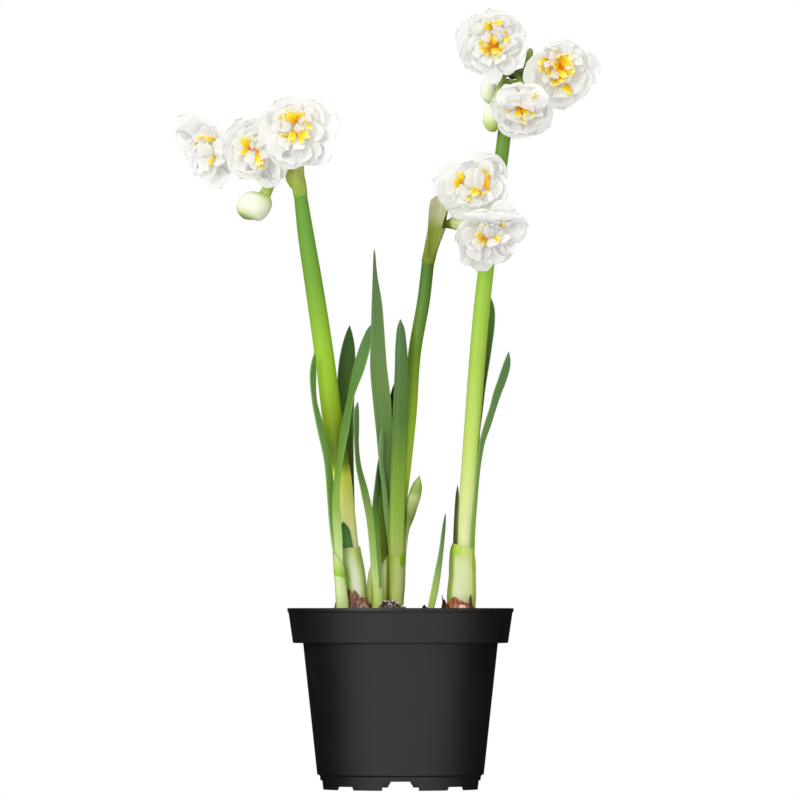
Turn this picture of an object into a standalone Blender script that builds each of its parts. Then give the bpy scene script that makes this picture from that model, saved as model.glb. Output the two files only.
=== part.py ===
"""Potted double daffodil with three flowering stems, in millimetres from the pot's axis.

Lengths are worked out from the photo at 0.575 mm to a pixel, which makes the pot a
13 cm nursery pot. x runs to the right, y runs away from the viewer, z runs up.
"""
import math

import bpy
import bmesh
from mathutils import Vector
from mathutils import noise

# Driving sizes, in millimetres
POT_AXIS_X = 7.7
POT_HEIGHT = 104.1
LIP_RADIUS = 65.3
BAND_TOP_RADIUS = 64.4
BAND_FOOT_RADIUS = 61.9
BAND_DROP = 20.1
BODY_TOP_RADIUS = 56.0
BODY_FOOT_RADIUS = 47.9
STEP_HEIGHT = 8.6
FOOT_RADIUS = 45.5
POT_WALL = 1.3
FLOOR_UNDERSIDE = 6.4
FLOOR_TOP = 8.0
BIG_NOTCH = (20.0, 15.0, 5.2)
SMALL_NOTCH = (14.6, 12.6, 2.0)
DRAIN_HOLE_RADIUS = 4.0
DRAIN_CIRCLE = 28.0
GAP = 0.3
LEAF_THICKNESS = 1.5
LEAF_EDGE = 0.75
PETAL_THICKNESS = 0.8
SOIL_LEVEL = 98.0

# Leaves: (x, y, z, width, turn in degrees) from the base to the tip
LEAVES = {
    "leaf_left_outer": [
        (-34.2, -13.6, 115.6, 4, 0),
        (-35.5, -13.6, 128.2, 4.2, 10),
        (-37.7, -13.4, 143.2, 5, 22),
        (-40, -13.4, 166.2, 7, 50),
        (-42.4, -14, 189.2, 7, 57),
        (-47, -13.5, 210.4, 7, 57),
        (-49.7, -13, 223.1, 6.2, 64),
        (-50.5, -12, 239.8, 6.4, 58),
        (-49.3, -11.5, 250.7, 1.4, 50),
    ],
    "leaf_left_long": [
        (-33.6, -16.4, 115.6, 4, 0),
        (-34.7, -16.4, 128.2, 4.2, -10),
        (-35.6, -16.8, 143.2, 5, -12),
        (-36.7, -17.2, 166.2, 6, -42),
        (-34.3, -15, 189.2, 6.6, -56),
        (-31.7, -14, 205.8, 7.2, -48),
        (-28.6, -12.5, 223.1, 7.4, -58),
        (-23, -7.6, 243.8, 8.2, -30),
        (-19.5, -4.4, 256.4, 7, -32),
        (-17.2, -2.4, 266.5, 2.4, -32),
    ],
    "leaf_left_broad": [
        (-26.7, 5, 120.2, 6.5, 0),
        (-28.2, 5.3, 136.3, 7.2, 0),
        (-30.1, 6.6, 157.5, 8, 0),
        (-31, 7, 178.8, 8.6, 0),
        (-31.6, 7, 203.5, 9.2, 0),
        (-31.5, 6.9, 223.7, 9.8, 0),
        (-31, 6.6, 239.8, 10.2, 0),
        (-29.9, 6.2, 256.4, 6.8, 0),
        (-29.3, 6, 266.8, 1.2, 0),
    ],
    "leaf_left_short": [
        (-28, -9.6, 123.6, 6, 0),
        (-29.6, -9.7, 134, 6.6, 0),
        (-31.1, -9.7, 141.4, 7.1, 0),
        (-32.1, -9.6, 148.3, 6.2, 0),
        (-32.9, -9.5, 153.5, 2.6, 0),
    ],
    "leaf_front": [
        (-13.7, -12, 108.7, 3.8, 0),
        (-14.3, -12, 117.9, 4.2, 5),
        (-15.4, -12.4, 131.7, 5, 25),
        (-16.2, -12.9, 144.3, 5.4, 28),
        (-17.2, -13.3, 155.2, 5.8, 32),
        (-21.1, -14, 171.9, 6, 48),
        (-24.3, -14.5, 185.1, 6, 62),
        (-25.5, -14.8, 197.8, 6, 67),
        (-25.6, -14.8, 208.7, 6, 60),
        (-25.5, -14.4, 217, 4.6, 52),
        (-24.4, -14, 222.5, 1.2, 50),
    ],
    "leaf_front_back": [
        (-12.5, -8.9, 108.7, 3.6, 0),
        (-12.8, -8.9, 117.9, 3.8, 0),
        (-13.4, -8, 131.7, 4.6, 15),
        (-14.3, -6.3, 147.8, 5, 30),
        (-14.8, -5.2, 157.5, 5, 42),
        (-13.4, -2.6, 174.8, 4.8, 48),
        (-11.4, 0.4, 189.2, 4.2, 45),
        (-10.1, 1.8, 197.8, 1.2, 40),
    ],
    "leaf_middle_tall": [
        (-2.6, -0.1, 113.3, 5.2, 0),
        (-2.6, -0.2, 128.2, 5.6, 0),
        (-3.3, -0.6, 145.5, 7.4, 0),
        (-5.1, -1.8, 166.2, 9, 0),
        (-7.6, -3, 188, 9.6, 0),
        (-9.3, -4, 205.8, 9.5, 0),
        (-10.7, -5, 223.1, 10.4, 0),
        (-12.6, -6.2, 242.6, 9.7, 0),
        (-13.1, -7.2, 261, 8, 0),
        (-13.6, -8.2, 279.4, 6, 0),
        (-14.6, -9, 294.4, 2.9, 0),
        (-15.1, -9.7, 310.5, 0.8, 0),
    ],
    "leaf_middle_blunt": [
        (-2.2, -5, 114.4, 6.8, 0),
        (-2.2, -5.1, 128.2, 7.6, 0),
        (-2.2, -5.5, 143.2, 8.7, 0),
        (-1.8, -6.2, 166.2, 9, 0),
        (-1, -6.8, 189.2, 8.9, 0),
        (-0.1, -7.2, 214.5, 8.9, 0),
        (0.5, -7.2, 239.8, 7.8, 0),
        (0.3, -7.2, 256.4, 6.3, 0),
        (0.1, -7.1, 265.1, 4.1, 0),
        (-0.1, -7, 270, 1.3, 0),
    ],
    "leaf_middle_narrow": [
        (-5.1, -2.6, 114.4, 2.6, 0),
        (-5.1, -2.6, 128.2, 2.9, 0),
        (-6, -2.9, 143.2, 3.2, 0),
        (-7.8, -3.7, 157.5, 3.4, 10),
        (-9.4, -5.6, 173.1, 3.4, 38),
        (-11.3, -7.2, 188, 3.4, 45),
        (-11.3, -7.8, 197.8, 3.2, 35),
        (-10.9, -8.2, 208.1, 0.9, 30),
    ],
    "leaf_middle_dark": [
        (-9, 4.6, 114.4, 3.4, 0),
        (-8.9, 4.6, 128.2, 3.6, 0),
        (-8, 5, 154.7, 4.6, 0),
        (-6.9, 5.2, 177.7, 5.6, 0),
        (-5.2, 5, 200.7, 6.3, 0),
        (-4.3, 4.8, 219.1, 5.8, 0),
        (-3.7, 4.6, 227.1, 4, 0),
        (-3.3, 4.5, 234, 1.1, 0),
    ],
    "leaf_middle_olive": [
        (-10.1, 0.2, 114.4, 3.4, 0),
        (-10.1, 0.2, 128.2, 4.2, 0),
        (-10.3, 0.4, 140.3, 5.8, 0),
        (-10.5, 0.9, 154.7, 5.4, 0),
        (-10.3, 1.4, 167.3, 4.4, 0),
        (-9.6, 2.2, 180, 3, 0),
        (-9.1, 2.6, 186.9, 1, 0),
    ],
    "leaf_lone": [
        (16, -9, 96, 4.2, 25),
        (17.3, -9, 104.4, 4.6, 32),
        (19, -9, 112.1, 4.8, 28),
        (21.1, -9, 123.6, 4.4, 30),
        (22.9, -9, 135.1, 3.6, 42),
        (24.8, -9, 150.6, 2.5, 42),
        (25.8, -9, 158.7, 0.9, 40),
    ],
    "leaf_right_arched": [
        (36.9, 5.6, 115.6, 4.6, 0),
        (37.7, 5.6, 130.5, 5, 0),
        (39.4, 5.8, 166.2, 6, -12),
        (42.5, 6, 200.7, 6.6, -25),
        (44.9, 6.1, 216.8, 7, -40),
        (47, 6, 231.1, 7, -50),
        (49.4, 5.8, 243.8, 6.5, -55),
        (51.4, 5.4, 256.4, 6, -55),
        (52.6, 5, 266.2, 5.8, -52),
        (53.1, 4.6, 274.8, 4.8, -55),
        (52.2, 4.2, 282.6, 0.9, -50),
    ],
    "leaf_right_side": [
        (41.2, -1, 115.6, 4.4, 84),
        (41.3, -1, 131.7, 4.8, 84),
        (41.9, -1, 143.2, 5.8, 80),
        (44, -1, 166.2, 6.8, 76),
        (45.8, -1, 189.2, 7.4, 72),
        (47.3, -1, 200.7, 7.4, 66),
        (49.9, -1.3, 210.2, 7.4, 57),
        (52.6, -1.7, 218.7, 7.4, 59),
        (55.1, -2.1, 227.1, 7.4, 52),
        (58.2, -2.5, 235.5, 7.2, 47),
        (60.8, -2.9, 244, 6, 45),
        (62.3, -3.2, 251.6, 1.1, 45),
    ],
    "leaf_right_short": [
        (31.5, -0.6, 115.6, 4.4, -84),
        (31.5, -0.6, 131.7, 4.6, -84),
        (31.5, -0.6, 145.5, 5.2, -78),
        (32.1, -0.4, 154.7, 5, -72),
        (32.7, -0.1, 166.2, 4, -66),
        (32.9, 0.2, 174.8, 1.1, -60),
    ],
}

# Stems: (x, y, z, radius) from the base to the top
STEMS = {
    "stem_left": [
        (-26.2, -2, 117.3, 4.9),
        (-27.9, -2, 128.8, 5.4),
        (-30.1, -2, 140.3, 5.8),
        (-31.6, -2, 154.7, 5.85),
        (-34.3, -2, 180, 5.8),
        (-37.9, -2, 203.5, 5.7),
        (-44, -1.6, 250.7, 5.45),
        (-49.7, -1.2, 289.2, 5.1),
        (-54.8, -0.9, 321.4, 4.5),
        (-57.4, -0.8, 340.7, 3.75),
    ],
    "stem_middle": [
        (-1.7, 4.6, 114.4, 3.1),
        (-1.7, 4.6, 128.2, 3.3),
        (-0.9, 4.7, 154.7, 3.6),
        (2.7, 4.6, 189.2, 3.8),
        (5.3, 4.4, 214.5, 3.8),
        (8.3, 4.2, 252.4, 3.6),
        (13.4, 4, 281.8, 3.6),
        (15.8, 4, 302.4, 3.5),
    ],
    "stem_right": [
        (36.1, -1, 115.6, 3.5),
        (36.2, -1, 131.7, 3.7),
        (36.5, -1, 143.2, 4),
        (38.9, -1, 174.2, 4.7),
        (40, -1, 189.2, 4.65),
        (41.6, -1, 212.2, 4.65),
        (48.5, -0.6, 292.7, 4.5),
        (53.5, -0.4, 330, 4.2),
        (58, -0.2, 362.8, 3.9),
        (60.9, 0, 385.8, 3.8),
        (62.3, 0, 396.7, 3.7),
    ],
    "young_bud": [
        (1.4, -1.4, 114.4, 1.05),
        (1.7, -1.5, 128.2, 1.15),
        (2.4, -1.7, 140.3, 1.25),
        (3.7, -1.9, 150.1, 1.5),
        (5.5, -2, 157.5, 2.5),
        (6.6, -2.1, 163.9, 3.2),
        (8.1, -2.2, 168.5, 3.2),
        (9.4, -2.3, 173.6, 2.75),
        (10.3, -2.4, 177.7, 1.6),
        (11, -2.5, 180.4, 0.4),
    ],
}

# Sheaths round the leaf bases: (x, y, z, half width, half depth) from the foot up
SHEATHS = {
    "sheath_left_stem": [
        (-24.7, -2, 101.8, 5.5, 9.2),
        (-25.2, -2, 111.5, 6.1, 9.8),
        (-27.1, -2, 124.8, 6.7, 10.2),
        (-29.2, -2, 135.1, 6.9, 10.3),
        (-29.8, -2, 139.1, 6.8, 10.1),
    ],
    "sheath_left_leaves": [
        (-32.8, -14.6, 98.3, 3.4, 3.8),
        (-33.3, -14.8, 106.4, 3.7, 4.2),
        (-34.6, -15, 120.2, 3.3, 4.2),
        (-35, -15, 124.8, 3.4, 4.3),
        (-35.4, -15, 131.7, 3.5, 4.2),
    ],
    "sheath_front": [
        (-12.9, -10.4, 96, 3.4, 4.2),
        (-12.9, -10.4, 105.2, 3.8, 4.6),
        (-13.4, -10.4, 113.3, 3.4, 4.5),
        (-13.7, -10.4, 117.9, 3.1, 4.2),
    ],
    "sheath_middle": [
        (-2.8, 0.6, 89.7, 4.1, 8.2),
        (-2.6, 0.6, 107.5, 4.5, 8.8),
        (-2, 0.6, 120.2, 4.75, 9.1),
        (-2, 0.6, 131.7, 4.8, 9.1),
        (-2, 0.6, 135.7, 4.6, 8.8),
    ],
    "sheath_middle_side": [
        (-9.5, 1.4, 89.7, 2.3, 5.6),
        (-9.7, 1.4, 107.5, 2.7, 6),
        (-9.8, 1.4, 120.2, 2.8, 6.2),
        (-9.9, 1.4, 131.1, 2.8, 6),
    ],
    "sheath_right": [
        (35.1, -1, 99.5, 7.6, 8.8),
        (35.1, -1, 110.4, 8.4, 9.4),
        (35.6, -1, 123, 7.8, 9.6),
        (35.7, -1, 131.7, 7.5, 9.5),
        (35.5, -1, 136.8, 7.2, 9.3),
        (35.6, -1, 139.7, 6.9, 9),
    ],
}

WIDE_LEAVES = ("leaf_middle_tall", "leaf_middle_blunt", "leaf_left_broad", "leaf_left_short")
LEAF_CUP = {
    "leaf_left_short": -1.5,
    "leaf_left_broad": 0.8,
    "leaf_middle_blunt": -0.9,
    "leaf_middle_tall": 0.7,
    "leaf_right_side": 0.5,
}

# What stands in each sheath
SHEATH_HOLDS = {
    "sheath_left_stem": ("stem_left", "leaf_left_broad", "leaf_left_short"),
    "sheath_left_leaves": ("leaf_left_outer", "leaf_left_long"),
    "sheath_front": ("leaf_front", "leaf_front_back"),
    "sheath_middle": (
        "stem_middle", "leaf_middle_tall", "leaf_middle_blunt", "leaf_middle_narrow", "young_bud"),
    "sheath_middle_side": ("leaf_middle_dark", "leaf_middle_olive"),
    "sheath_right": ("stem_right", "leaf_right_arched", "leaf_right_side", "leaf_right_short"),
}

# Bulbs: (x, y, z, half width, half depth) from the foot up
BULBS = {
    "bulb_left": [
        (-27, -4, 62, 4, 4), (-27, -4, 66, 10.5, 10.5), (-27, -4, 74, 14.6, 14.6),
        (-27, -4, 83, 15, 15), (-26.6, -4, 92, 12.8, 13.6), (-26, -3.4, 99, 10.4, 12.6),
        (-25.4, -2.8, 104.6, 8.9, 12), (-25.6, -2.6, 109.6, 7.9, 11.7)],
    "bulb_middle": [
        (-1.5, 8, 60, 3.5, 3.5), (-1.5, 8, 64, 9, 9), (-1.5, 8, 71, 11.6, 11.8),
        (-1.5, 8, 80, 11.4, 12.2), (-2, 3.6, 88, 9.4, 12), (-2.4, 1.2, 95, 7.4, 11)],
    "bulb_right": [
        (35, -2, 60, 4, 4), (35, -2, 64, 11, 11), (35, -2, 72, 15.6, 15.6),
        (35, -2, 82, 16, 16), (35, -2, 91, 14, 14.4), (35, -1.6, 98, 11.4, 12.2),
        (35, -1.2, 103.6, 10.2, 11.4), (35, -1, 108.2, 9.5, 10.8)],
}
BULB_HOLDS = {
    "bulb_left": ("sheath_left_stem", "sheath_left_leaves", "sheath_front"),
    "bulb_middle": ("sheath_middle", "sheath_middle_side"),
    "bulb_right": ("sheath_right",),
}

# Petal sorts: start (out, up), bend (share of the reach, up), end (share, up), cup, thickness
SORTS = {
    "outer": ((2.4, -6.6), (0.62, -5.8), (1.0, -2.8), 0.10),
    "second": ((2.6, -5.3), (0.62, -3.2), (1.0, 1.2), 0.13),
    "inner": ((2.1, -3.9), (0.66, 0.8), (1.0, 5.4), 0.16),
    "hood": ((2.1, -3.9), (1.28, 8.0), (0.66, 10.2), -0.20),
    "frill": ((1.2, 0.3), (0.60, 2.2), (1.0, 6.8), 0.12),
}

# Blooms: centre, direction it faces, white petals and yellow frills as (sort, angle, reach, width)
BLOOMS = {
    "bloom_left_right": dict(
        centre=(-59.5, -20, 378.4), faces=(0.02, -1, 0.03),
        white=[
            ("outer", 133, 24.5, 25), ("outer", 12, 24.0, 24), ("outer", -100, 22.0, 23),
            ("second", 72, 19.5, 21), ("second", -36, 26.0, 23), ("second", 188, 21.5, 20),
            ("inner", 34, 15.5, 11), ("inner", -25, 17.5, 12), ("inner", -88, 16.5, 13),
            ("inner", -138, 16.0, 12), ("inner", 165, 13.5, 12), ("inner", 100, 13.0, 11)],
        yellow=[(142, 11, 8), (92, 9, 5), (14, 10, 6), (-72, 8, 7), (-118, 9, 7)]),
    "bloom_left_middle": dict(
        centre=(-85.0, -7, 368.5), faces=(-0.12, -1, 0),
        white=[
            ("outer", 128, 21.5, 24), ("outer", 8, 15.5, 18), ("outer", -64, 24.0, 15),
            ("second", 76, 18.5, 21), ("second", 182, 17.0, 21), ("second", -112, 19.0, 22),
            ("inner", 40, 13.0, 12), ("inner", -15, 13.5, 12), ("inner", -70, 15.0, 11),
            ("inner", -135, 15.0, 12), ("inner", 150, 12.5, 12)],
        yellow=[(165, 8, 8), (205, 8.5, 5), (-35, 9.5, 7), (75, 7, 4)]),
    "bloom_left_left": dict(
        centre=(-113.0, 9.5, 367.0), faces=(-0.50, -0.82, -0.22),
        white=[
            ("outer", 118, 23.0, 22), ("outer", 10, 15.5, 22), ("outer", -118, 21.0, 19),
            ("second", 62, 15.0, 20), ("second", 170, 19.5, 22), ("second", -62, 23.5, 20),
            ("inner", 120, 13.0, 11), ("inner", 30, 11.5, 10), ("inner", -40, 14.0, 11),
            ("inner", -110, 13.0, 11), ("inner", 190, 12.0, 10)],
        yellow=[(78, 9, 7), (-45, 9.5, 4.5), (155, 6, 4)]),
    "bloom_middle_upper": dict(
        centre=(42.8, -10, 349.6), faces=(-0.06, -1, 0.05),
        white=[
            ("outer", 168, 25.5, 24), ("outer", 52, 20.0, 23), ("outer", -70, 19.0, 23),
            ("second", 108, 18.0, 22), ("second", -8, 20.0, 21), ("second", -132, 24.5, 21),
            ("inner", 150, 14.5, 12), ("inner", 60, 12.5, 12), ("inner", -20, 13.5, 11),
            ("inner", -150, 15.0, 12), ("inner", -85, 12.5, 11)],
        yellow=[(184, 12, 8), (8, 8.5, 6), (-72, 9.5, 8), (-108, 9.5, 7)]),
    "bloom_middle_lower": dict(
        centre=(50.2, -20, 319.4), faces=(0.24, -0.95, -0.16),
        white=[
            ("outer", 152, 19.0, 21), ("outer", 18, 22.5, 22), ("outer", -92, 20.5, 23),
            ("second", 84, 14.0, 22), ("second", -40, 19.0, 20), ("second", -140, 22.0, 21),
            ("inner", -60, 14.5, 11), ("inner", -120, 13.0, 11), ("inner", 170, 12.0, 10),
            ("inner", 5, 13.5, 11), ("hood", 92, 11.5, 22)],
        yellow=[(205, 9.5, 5), (-112, 8.5, 8), (-40, 8, 5), (20, 7, 4)]),
    "bloom_right_left": dict(
        centre=(53.0, -12, 429.0), faces=(-0.08, -1, 0.02),
        white=[
            ("outer", 150, 23.5, 24), ("outer", 40, 19.5, 24), ("outer", -85, 22.5, 23),
            ("second", 92, 18.5, 23), ("second", -18, 20.0, 21), ("second", -140, 21.0, 22),
            ("inner", 60, 11.5, 11), ("inner", -15, 13.5, 10), ("inner", -62, 19.5, 12),
            ("inner", -120, 17.5, 13), ("inner", 175, 12.5, 12)],
        yellow=[(104, 12, 10), (12, 8.5, 5), (-150, 8.5, 7), (-75, 8, 8), (-110, 7, 5)]),
    "bloom_right_right": dict(
        centre=(91.5, -12, 412.8), faces=(0.16, -1, -0.06),
        white=[
            ("outer", 98, 19.0, 23), ("outer", -22, 24.5, 24), ("outer", -132, 22.0, 22),
            ("second", 36, 20.5, 22), ("second", 146, 17.5, 20), ("second", -78, 22.5, 22),
            ("inner", 46, 13.5, 11), ("inner", -28, 14.0, 11), ("inner", -80, 16.0, 12),
            ("inner", -125, 14.0, 10), ("inner", 165, 15.5, 10)],
        yellow=[(170, 11.5, 8), (122, 10, 7), (70, 10, 9), (12, 8.5, 8), (-45, 10, 6), (-105, 10, 5)]),
    "bloom_right_lower": dict(
        centre=(69.3, -21, 389.8), faces=(0.02, -0.93, -0.30),
        white=[
            ("outer", 158, 20.0, 21), ("outer", 24, 18.5, 22), ("outer", -112, 17.0, 22),
            ("second", 92, 16.0, 21), ("second", -62, 17.0, 22), ("second", -160, 17.0, 20),
            ("inner", 190, 11.5, 10), ("inner", -20, 13.0, 11), ("inner", -55, 14.5, 11),
            ("inner", -105, 12.0, 11), ("hood", 128, 12.0, 15), ("hood", 58, 12.0, 15)],
        yellow=[(178, 9.5, 6), (-100, 6, 5), (-60, 8, 4), (2, 8.5, 7)]),
}

# Buds: (x, y, z, radius) from the neck to the tip
BUDS = {
    "bud_left": [
        (-80.8, 1, 341.0, 3.2), (-82.2, 0.6, 338.6, 6.4), (-83.8, 0.2, 335.6, 8.6),
        (-85.2, 0, 332.6, 9.1), (-86.4, -0.4, 329.8, 7.6), (-87.4, -0.6, 327.8, 4.6),
        (-88.0, -0.8, 326.6, 1.6)],
    "bud_right_upper": [
        (51.6, 5.4, 409.6, 2.2), (51.2, 5.6, 406.4, 4.2), (50.9, 5.8, 402.0, 4.8),
        (50.7, 6.0, 397.6, 3.6), (50.6, 6.2, 394.6, 1.0)],
    "bud_right_lower": [
        (54.2, -5.6, 393.0, 2.6), (53.0, -5.8, 389.2, 5.4), (52.5, -6, 385.2, 6.0),
        (52.6, -6, 381.6, 5.2), (53.6, -6, 379.4, 2.6), (54.2, -6, 378.4, 0.9)],
}

# Spathes at the stem tops: (x, y, z, radius), and the dry flap as leaf rows
SPATHES = {
    "spathe_left": dict(
        tube=[(-57.5, -0.8, 341.4, 3.7), (-58.4, -0.8, 346.0, 4.1), (-59.6, -0.6, 351.4, 4.5),
              (-60.2, -0.4, 354.0, 4.3)],
        flap=[(-61.0, -2.4, 346.4, 4.6, 0), (-63.6, -4.2, 351.2, 5.0, 0), (-65.8, -4.8, 355.4, 3.6, 0),
              (-66.8, -4.9, 358.2, 1.0, 0)]),
    "spathe_middle": dict(
        tube=[(16.0, 4.0, 302.8, 3.5), (17.6, 4.0, 311.6, 3.9), (20.0, 4.1, 319.0, 4.6),
              (21.2, 4.2, 323.4, 4.7)],
        flap=[(20.4, 1.0, 319.4, 7.0, 0), (22.2, -0.9, 328.0, 9.4, 0), (21.6, -1.3, 334.6, 7.0, 0),
              (20.0, -1.4, 339.6, 1.2, 0)]),
    "spathe_right": dict(
        tube=[(62.4, 0, 397.0, 3.7), (63.0, 0, 401.6, 4.2), (64.2, 0, 406.0, 4.4),
              (64.6, 0, 408.0, 4.1)],
        flap=[(64.8, 2.6, 400.6, 5.0, 0), (69.2, 5.8, 410.0, 6.6, 0), (73.4, 6.8, 419.0, 4.6, 0),
              (75.4, 6.8, 426.4, 1.2, 0)]),
}

# Pedicels and flower tubes: each a path of (x, y, z, radius) to the back of a bloom or a bud
PEDICELS = {
    "pedicels_left": dict(
        knob=(-60.4, -0.4, 357.0, 3.6),
        to_blooms={
            "bloom_left_right": [(-60.2, 1.0, 361, 1.8), (-60, 2.2, 368, 2.8), (-59.8, 1.6, 373.6, 2.5)],
            "bloom_left_middle": [(-64, 1.6, 360.6, 1.7), (-72, 5.6, 366, 2.8), (-80, 7.2, 368.2, 2.4)],
            "bloom_left_left": [(-65, 5.0, 361.6, 1.7), (-80, 15.6, 369.6, 1.8), (-94, 20.6, 370.8, 2.8),
                                (-102.6, 20.4, 370, 2.4)]},
        to_buds={"bud_left": [(-64, 1.8, 357, 1.8), (-71, 3.0, 353.4, 2.0), (-76.2, 3.2, 348.4, 3.4)]}),
    "pedicels_middle": dict(
        knob=(21.6, 4.6, 326.5, 3.2),
        to_blooms={
            "bloom_middle_upper": [(26.4, 6.4, 334.6, 1.8), (31.4, 7.6, 342.0, 2.9), (37.6, 6.6, 347.4, 2.5)],
            "bloom_middle_lower": [(27.6, 3.6, 326.6, 2.3), (31.8, 0.2, 325.8, 4.0), (37.0, -3.8, 324.6, 4.2),
                                   (42.4, -7.4, 322.8, 2.8)]},
        to_buds={}),
    "pedicels_right": dict(
        knob=(64.8, 0, 411.0, 3.4),
        to_blooms={
            "bloom_right_left": [(63, 2.4, 415, 1.8), (58.4, 4.6, 421.4, 2.8), (55.4, 2.4, 426.4, 2.4)],
            "bloom_right_right": [(68.6, 1.2, 412.4, 2.0), (77, 3, 412.4, 3.0), (84, 1.6, 412.6, 2.5)],
            "bloom_right_lower": [(67.6, -4.0, 409.6, 1.8), (69.6, -7.6, 404.0, 2.6), (69.6, -8.6, 397.6, 2.6)]},
        to_buds={"bud_right_upper": [(60, 3.4, 414.0, 1.4), (55.2, 5.2, 415.0, 1.5)],
                 "bud_right_lower": [(61.0, -3.4, 411.0, 1.4), (57.6, -5.6, 405.0, 1.5),
                                     (55.6, -5.6, 399.4, 1.7)]}),
}

COLOURS = {
    "pot": (0.030, 0.028, 0.028),
    "soil": (0.045, 0.030, 0.022),
    "bulb": (0.30, 0.11, 0.05),
    "sheath": (0.60, 0.72, 0.38),
    "stem": (0.25, 0.46, 0.06),
    "leaf": (0.10, 0.26, 0.09),
    "spathe": (0.42, 0.42, 0.14),
    "pedicel": (0.24, 0.40, 0.08),
    "bud": (0.78, 0.84, 0.62),
    "white": (0.92, 0.92, 0.89),
    "yellow": (1.0, 0.62, 0.05),
}


# Start empty
for leftover in list(bpy.data.objects):
    bpy.data.objects.remove(leftover, do_unlink=True)
plant = bpy.data.collections.new("potted_daffodil")
bench = bpy.data.collections.new("cutters")
bpy.context.scene.collection.children.link(plant)
bpy.context.scene.collection.children.link(bench)


def material(name, colour, roughness=0.5):
    mat = bpy.data.materials.new(name)
    mat.use_nodes = True
    shader = mat.node_tree.nodes["Principled BSDF"]
    shader.inputs["Base Color"].default_value = (*colour, 1.0)
    shader.inputs["Roughness"].default_value = roughness
    mat.diffuse_color = (*colour, 1.0)
    return mat


def to_object(bm, name, collection, mat=None):
    """Turn a solid drawn in millimetres from the pot's axis into an object in metres."""
    bmesh.ops.recalc_face_normals(bm, faces=bm.faces)
    if bm.calc_volume(signed=True) < 0:
        bmesh.ops.reverse_faces(bm, faces=bm.faces)
    for vert in bm.verts:
        vert.co = Vector(((vert.co.x + POT_AXIS_X) / 1000, vert.co.y / 1000, vert.co.z / 1000))
    mesh = bpy.data.meshes.new(name)
    bm.to_mesh(mesh)
    bm.free()
    obj = bpy.data.objects.new(name, mesh)
    collection.objects.link(obj)
    if mat is not None:
        mesh.materials.append(mat)
    return obj


def bridge(bm, rings):
    """Join rings of points into a closed solid with flat ends."""
    loops = [[bm.verts.new(point) for point in ring] for ring in rings]
    count = len(loops[0])
    for low, high in zip(loops, loops[1:]):
        for i in range(count):
            j = (i + 1) % count
            bm.faces.new((low[i], low[j], high[j], high[i]))
    bm.faces.new(loops[0][::-1])
    bm.faces.new(loops[-1])


def column(bm, rows, sides, power=2.0, grow=0.0):
    """A solid of level rings, each an oval; a power above 2 makes it squarer."""
    rings = []
    last = len(rows) - 1
    for k, (x, y, z, half_width, half_depth) in enumerate(rows):
        lift = -grow if k == 0 else grow if k == last else 0.0
        ring = []
        for i in range(sides):
            angle = math.tau * (i + 0.5) / sides
            across = math.cos(angle)
            deep = math.sin(angle)
            size = (abs(across) ** power + abs(deep) ** power) ** (-1.0 / power)
            ring.append((x + (half_width + grow) * across * size,
                         y + (half_depth + grow) * deep * size, z + lift))
        rings.append(ring)
    bridge(bm, rings)


def path_directions(points):
    """The direction of a path at each of its points."""
    ways = []
    last = len(points) - 1
    for i in range(len(points)):
        ways.append((points[min(i + 1, last)] - points[max(i - 1, 0)]).normalized())
    return ways


def tube(bm, rows, sides, grow=0.0):
    """A round solid along a path of (x, y, z, radius)."""
    points = [Vector(row[:3]) for row in rows]
    ways = path_directions(points)
    points[0] = points[0] - ways[0] * grow
    points[-1] = points[-1] + ways[-1] * grow
    side = Vector((1, 0, 0))
    if abs(ways[0].x) > 0.8:
        side = Vector((0, 0, 1))
    rings = []
    for point, way, row in zip(points, ways, rows):
        side = (side - way * side.dot(way)).normalized()
        other = way.cross(side)
        ring = []
        for i in range(sides):
            angle = math.tau * i / sides
            ring.append(point + (side * math.cos(angle) + other * math.sin(angle)) * (row[3] + grow))
        rings.append(ring)
    bridge(bm, rings)


def sheet(bm, front, back):
    """Close two matching grids of points into one thin solid, split alike on both faces."""
    rows = len(front)
    cols = len(front[0])
    face = [[bm.verts.new(p) for p in row] for row in front]
    rear = [[bm.verts.new(p) for p in row] for row in back]
    for i in range(rows - 1):
        for j in range(cols - 1):
            for grid, turned in ((face, False), (rear, True)):
                a, b = grid[i][j], grid[i][j + 1]
                c, d = grid[i + 1][j + 1], grid[i + 1][j]
                for corner in ((a, b, c), (a, c, d)):
                    bm.faces.new(corner[::-1] if turned else corner)
    edge = [(0, j) for j in range(cols)] + [(i, cols - 1) for i in range(1, rows)]
    edge += [(rows - 1, j) for j in range(cols - 2, -1, -1)] + [(i, 0) for i in range(rows - 2, 0, -1)]
    for (i, j), (m, n) in zip(edge, edge[1:] + edge[:1]):
        bm.faces.new((face[m][n], face[i][j], rear[i][j], rear[m][n]))


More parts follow.
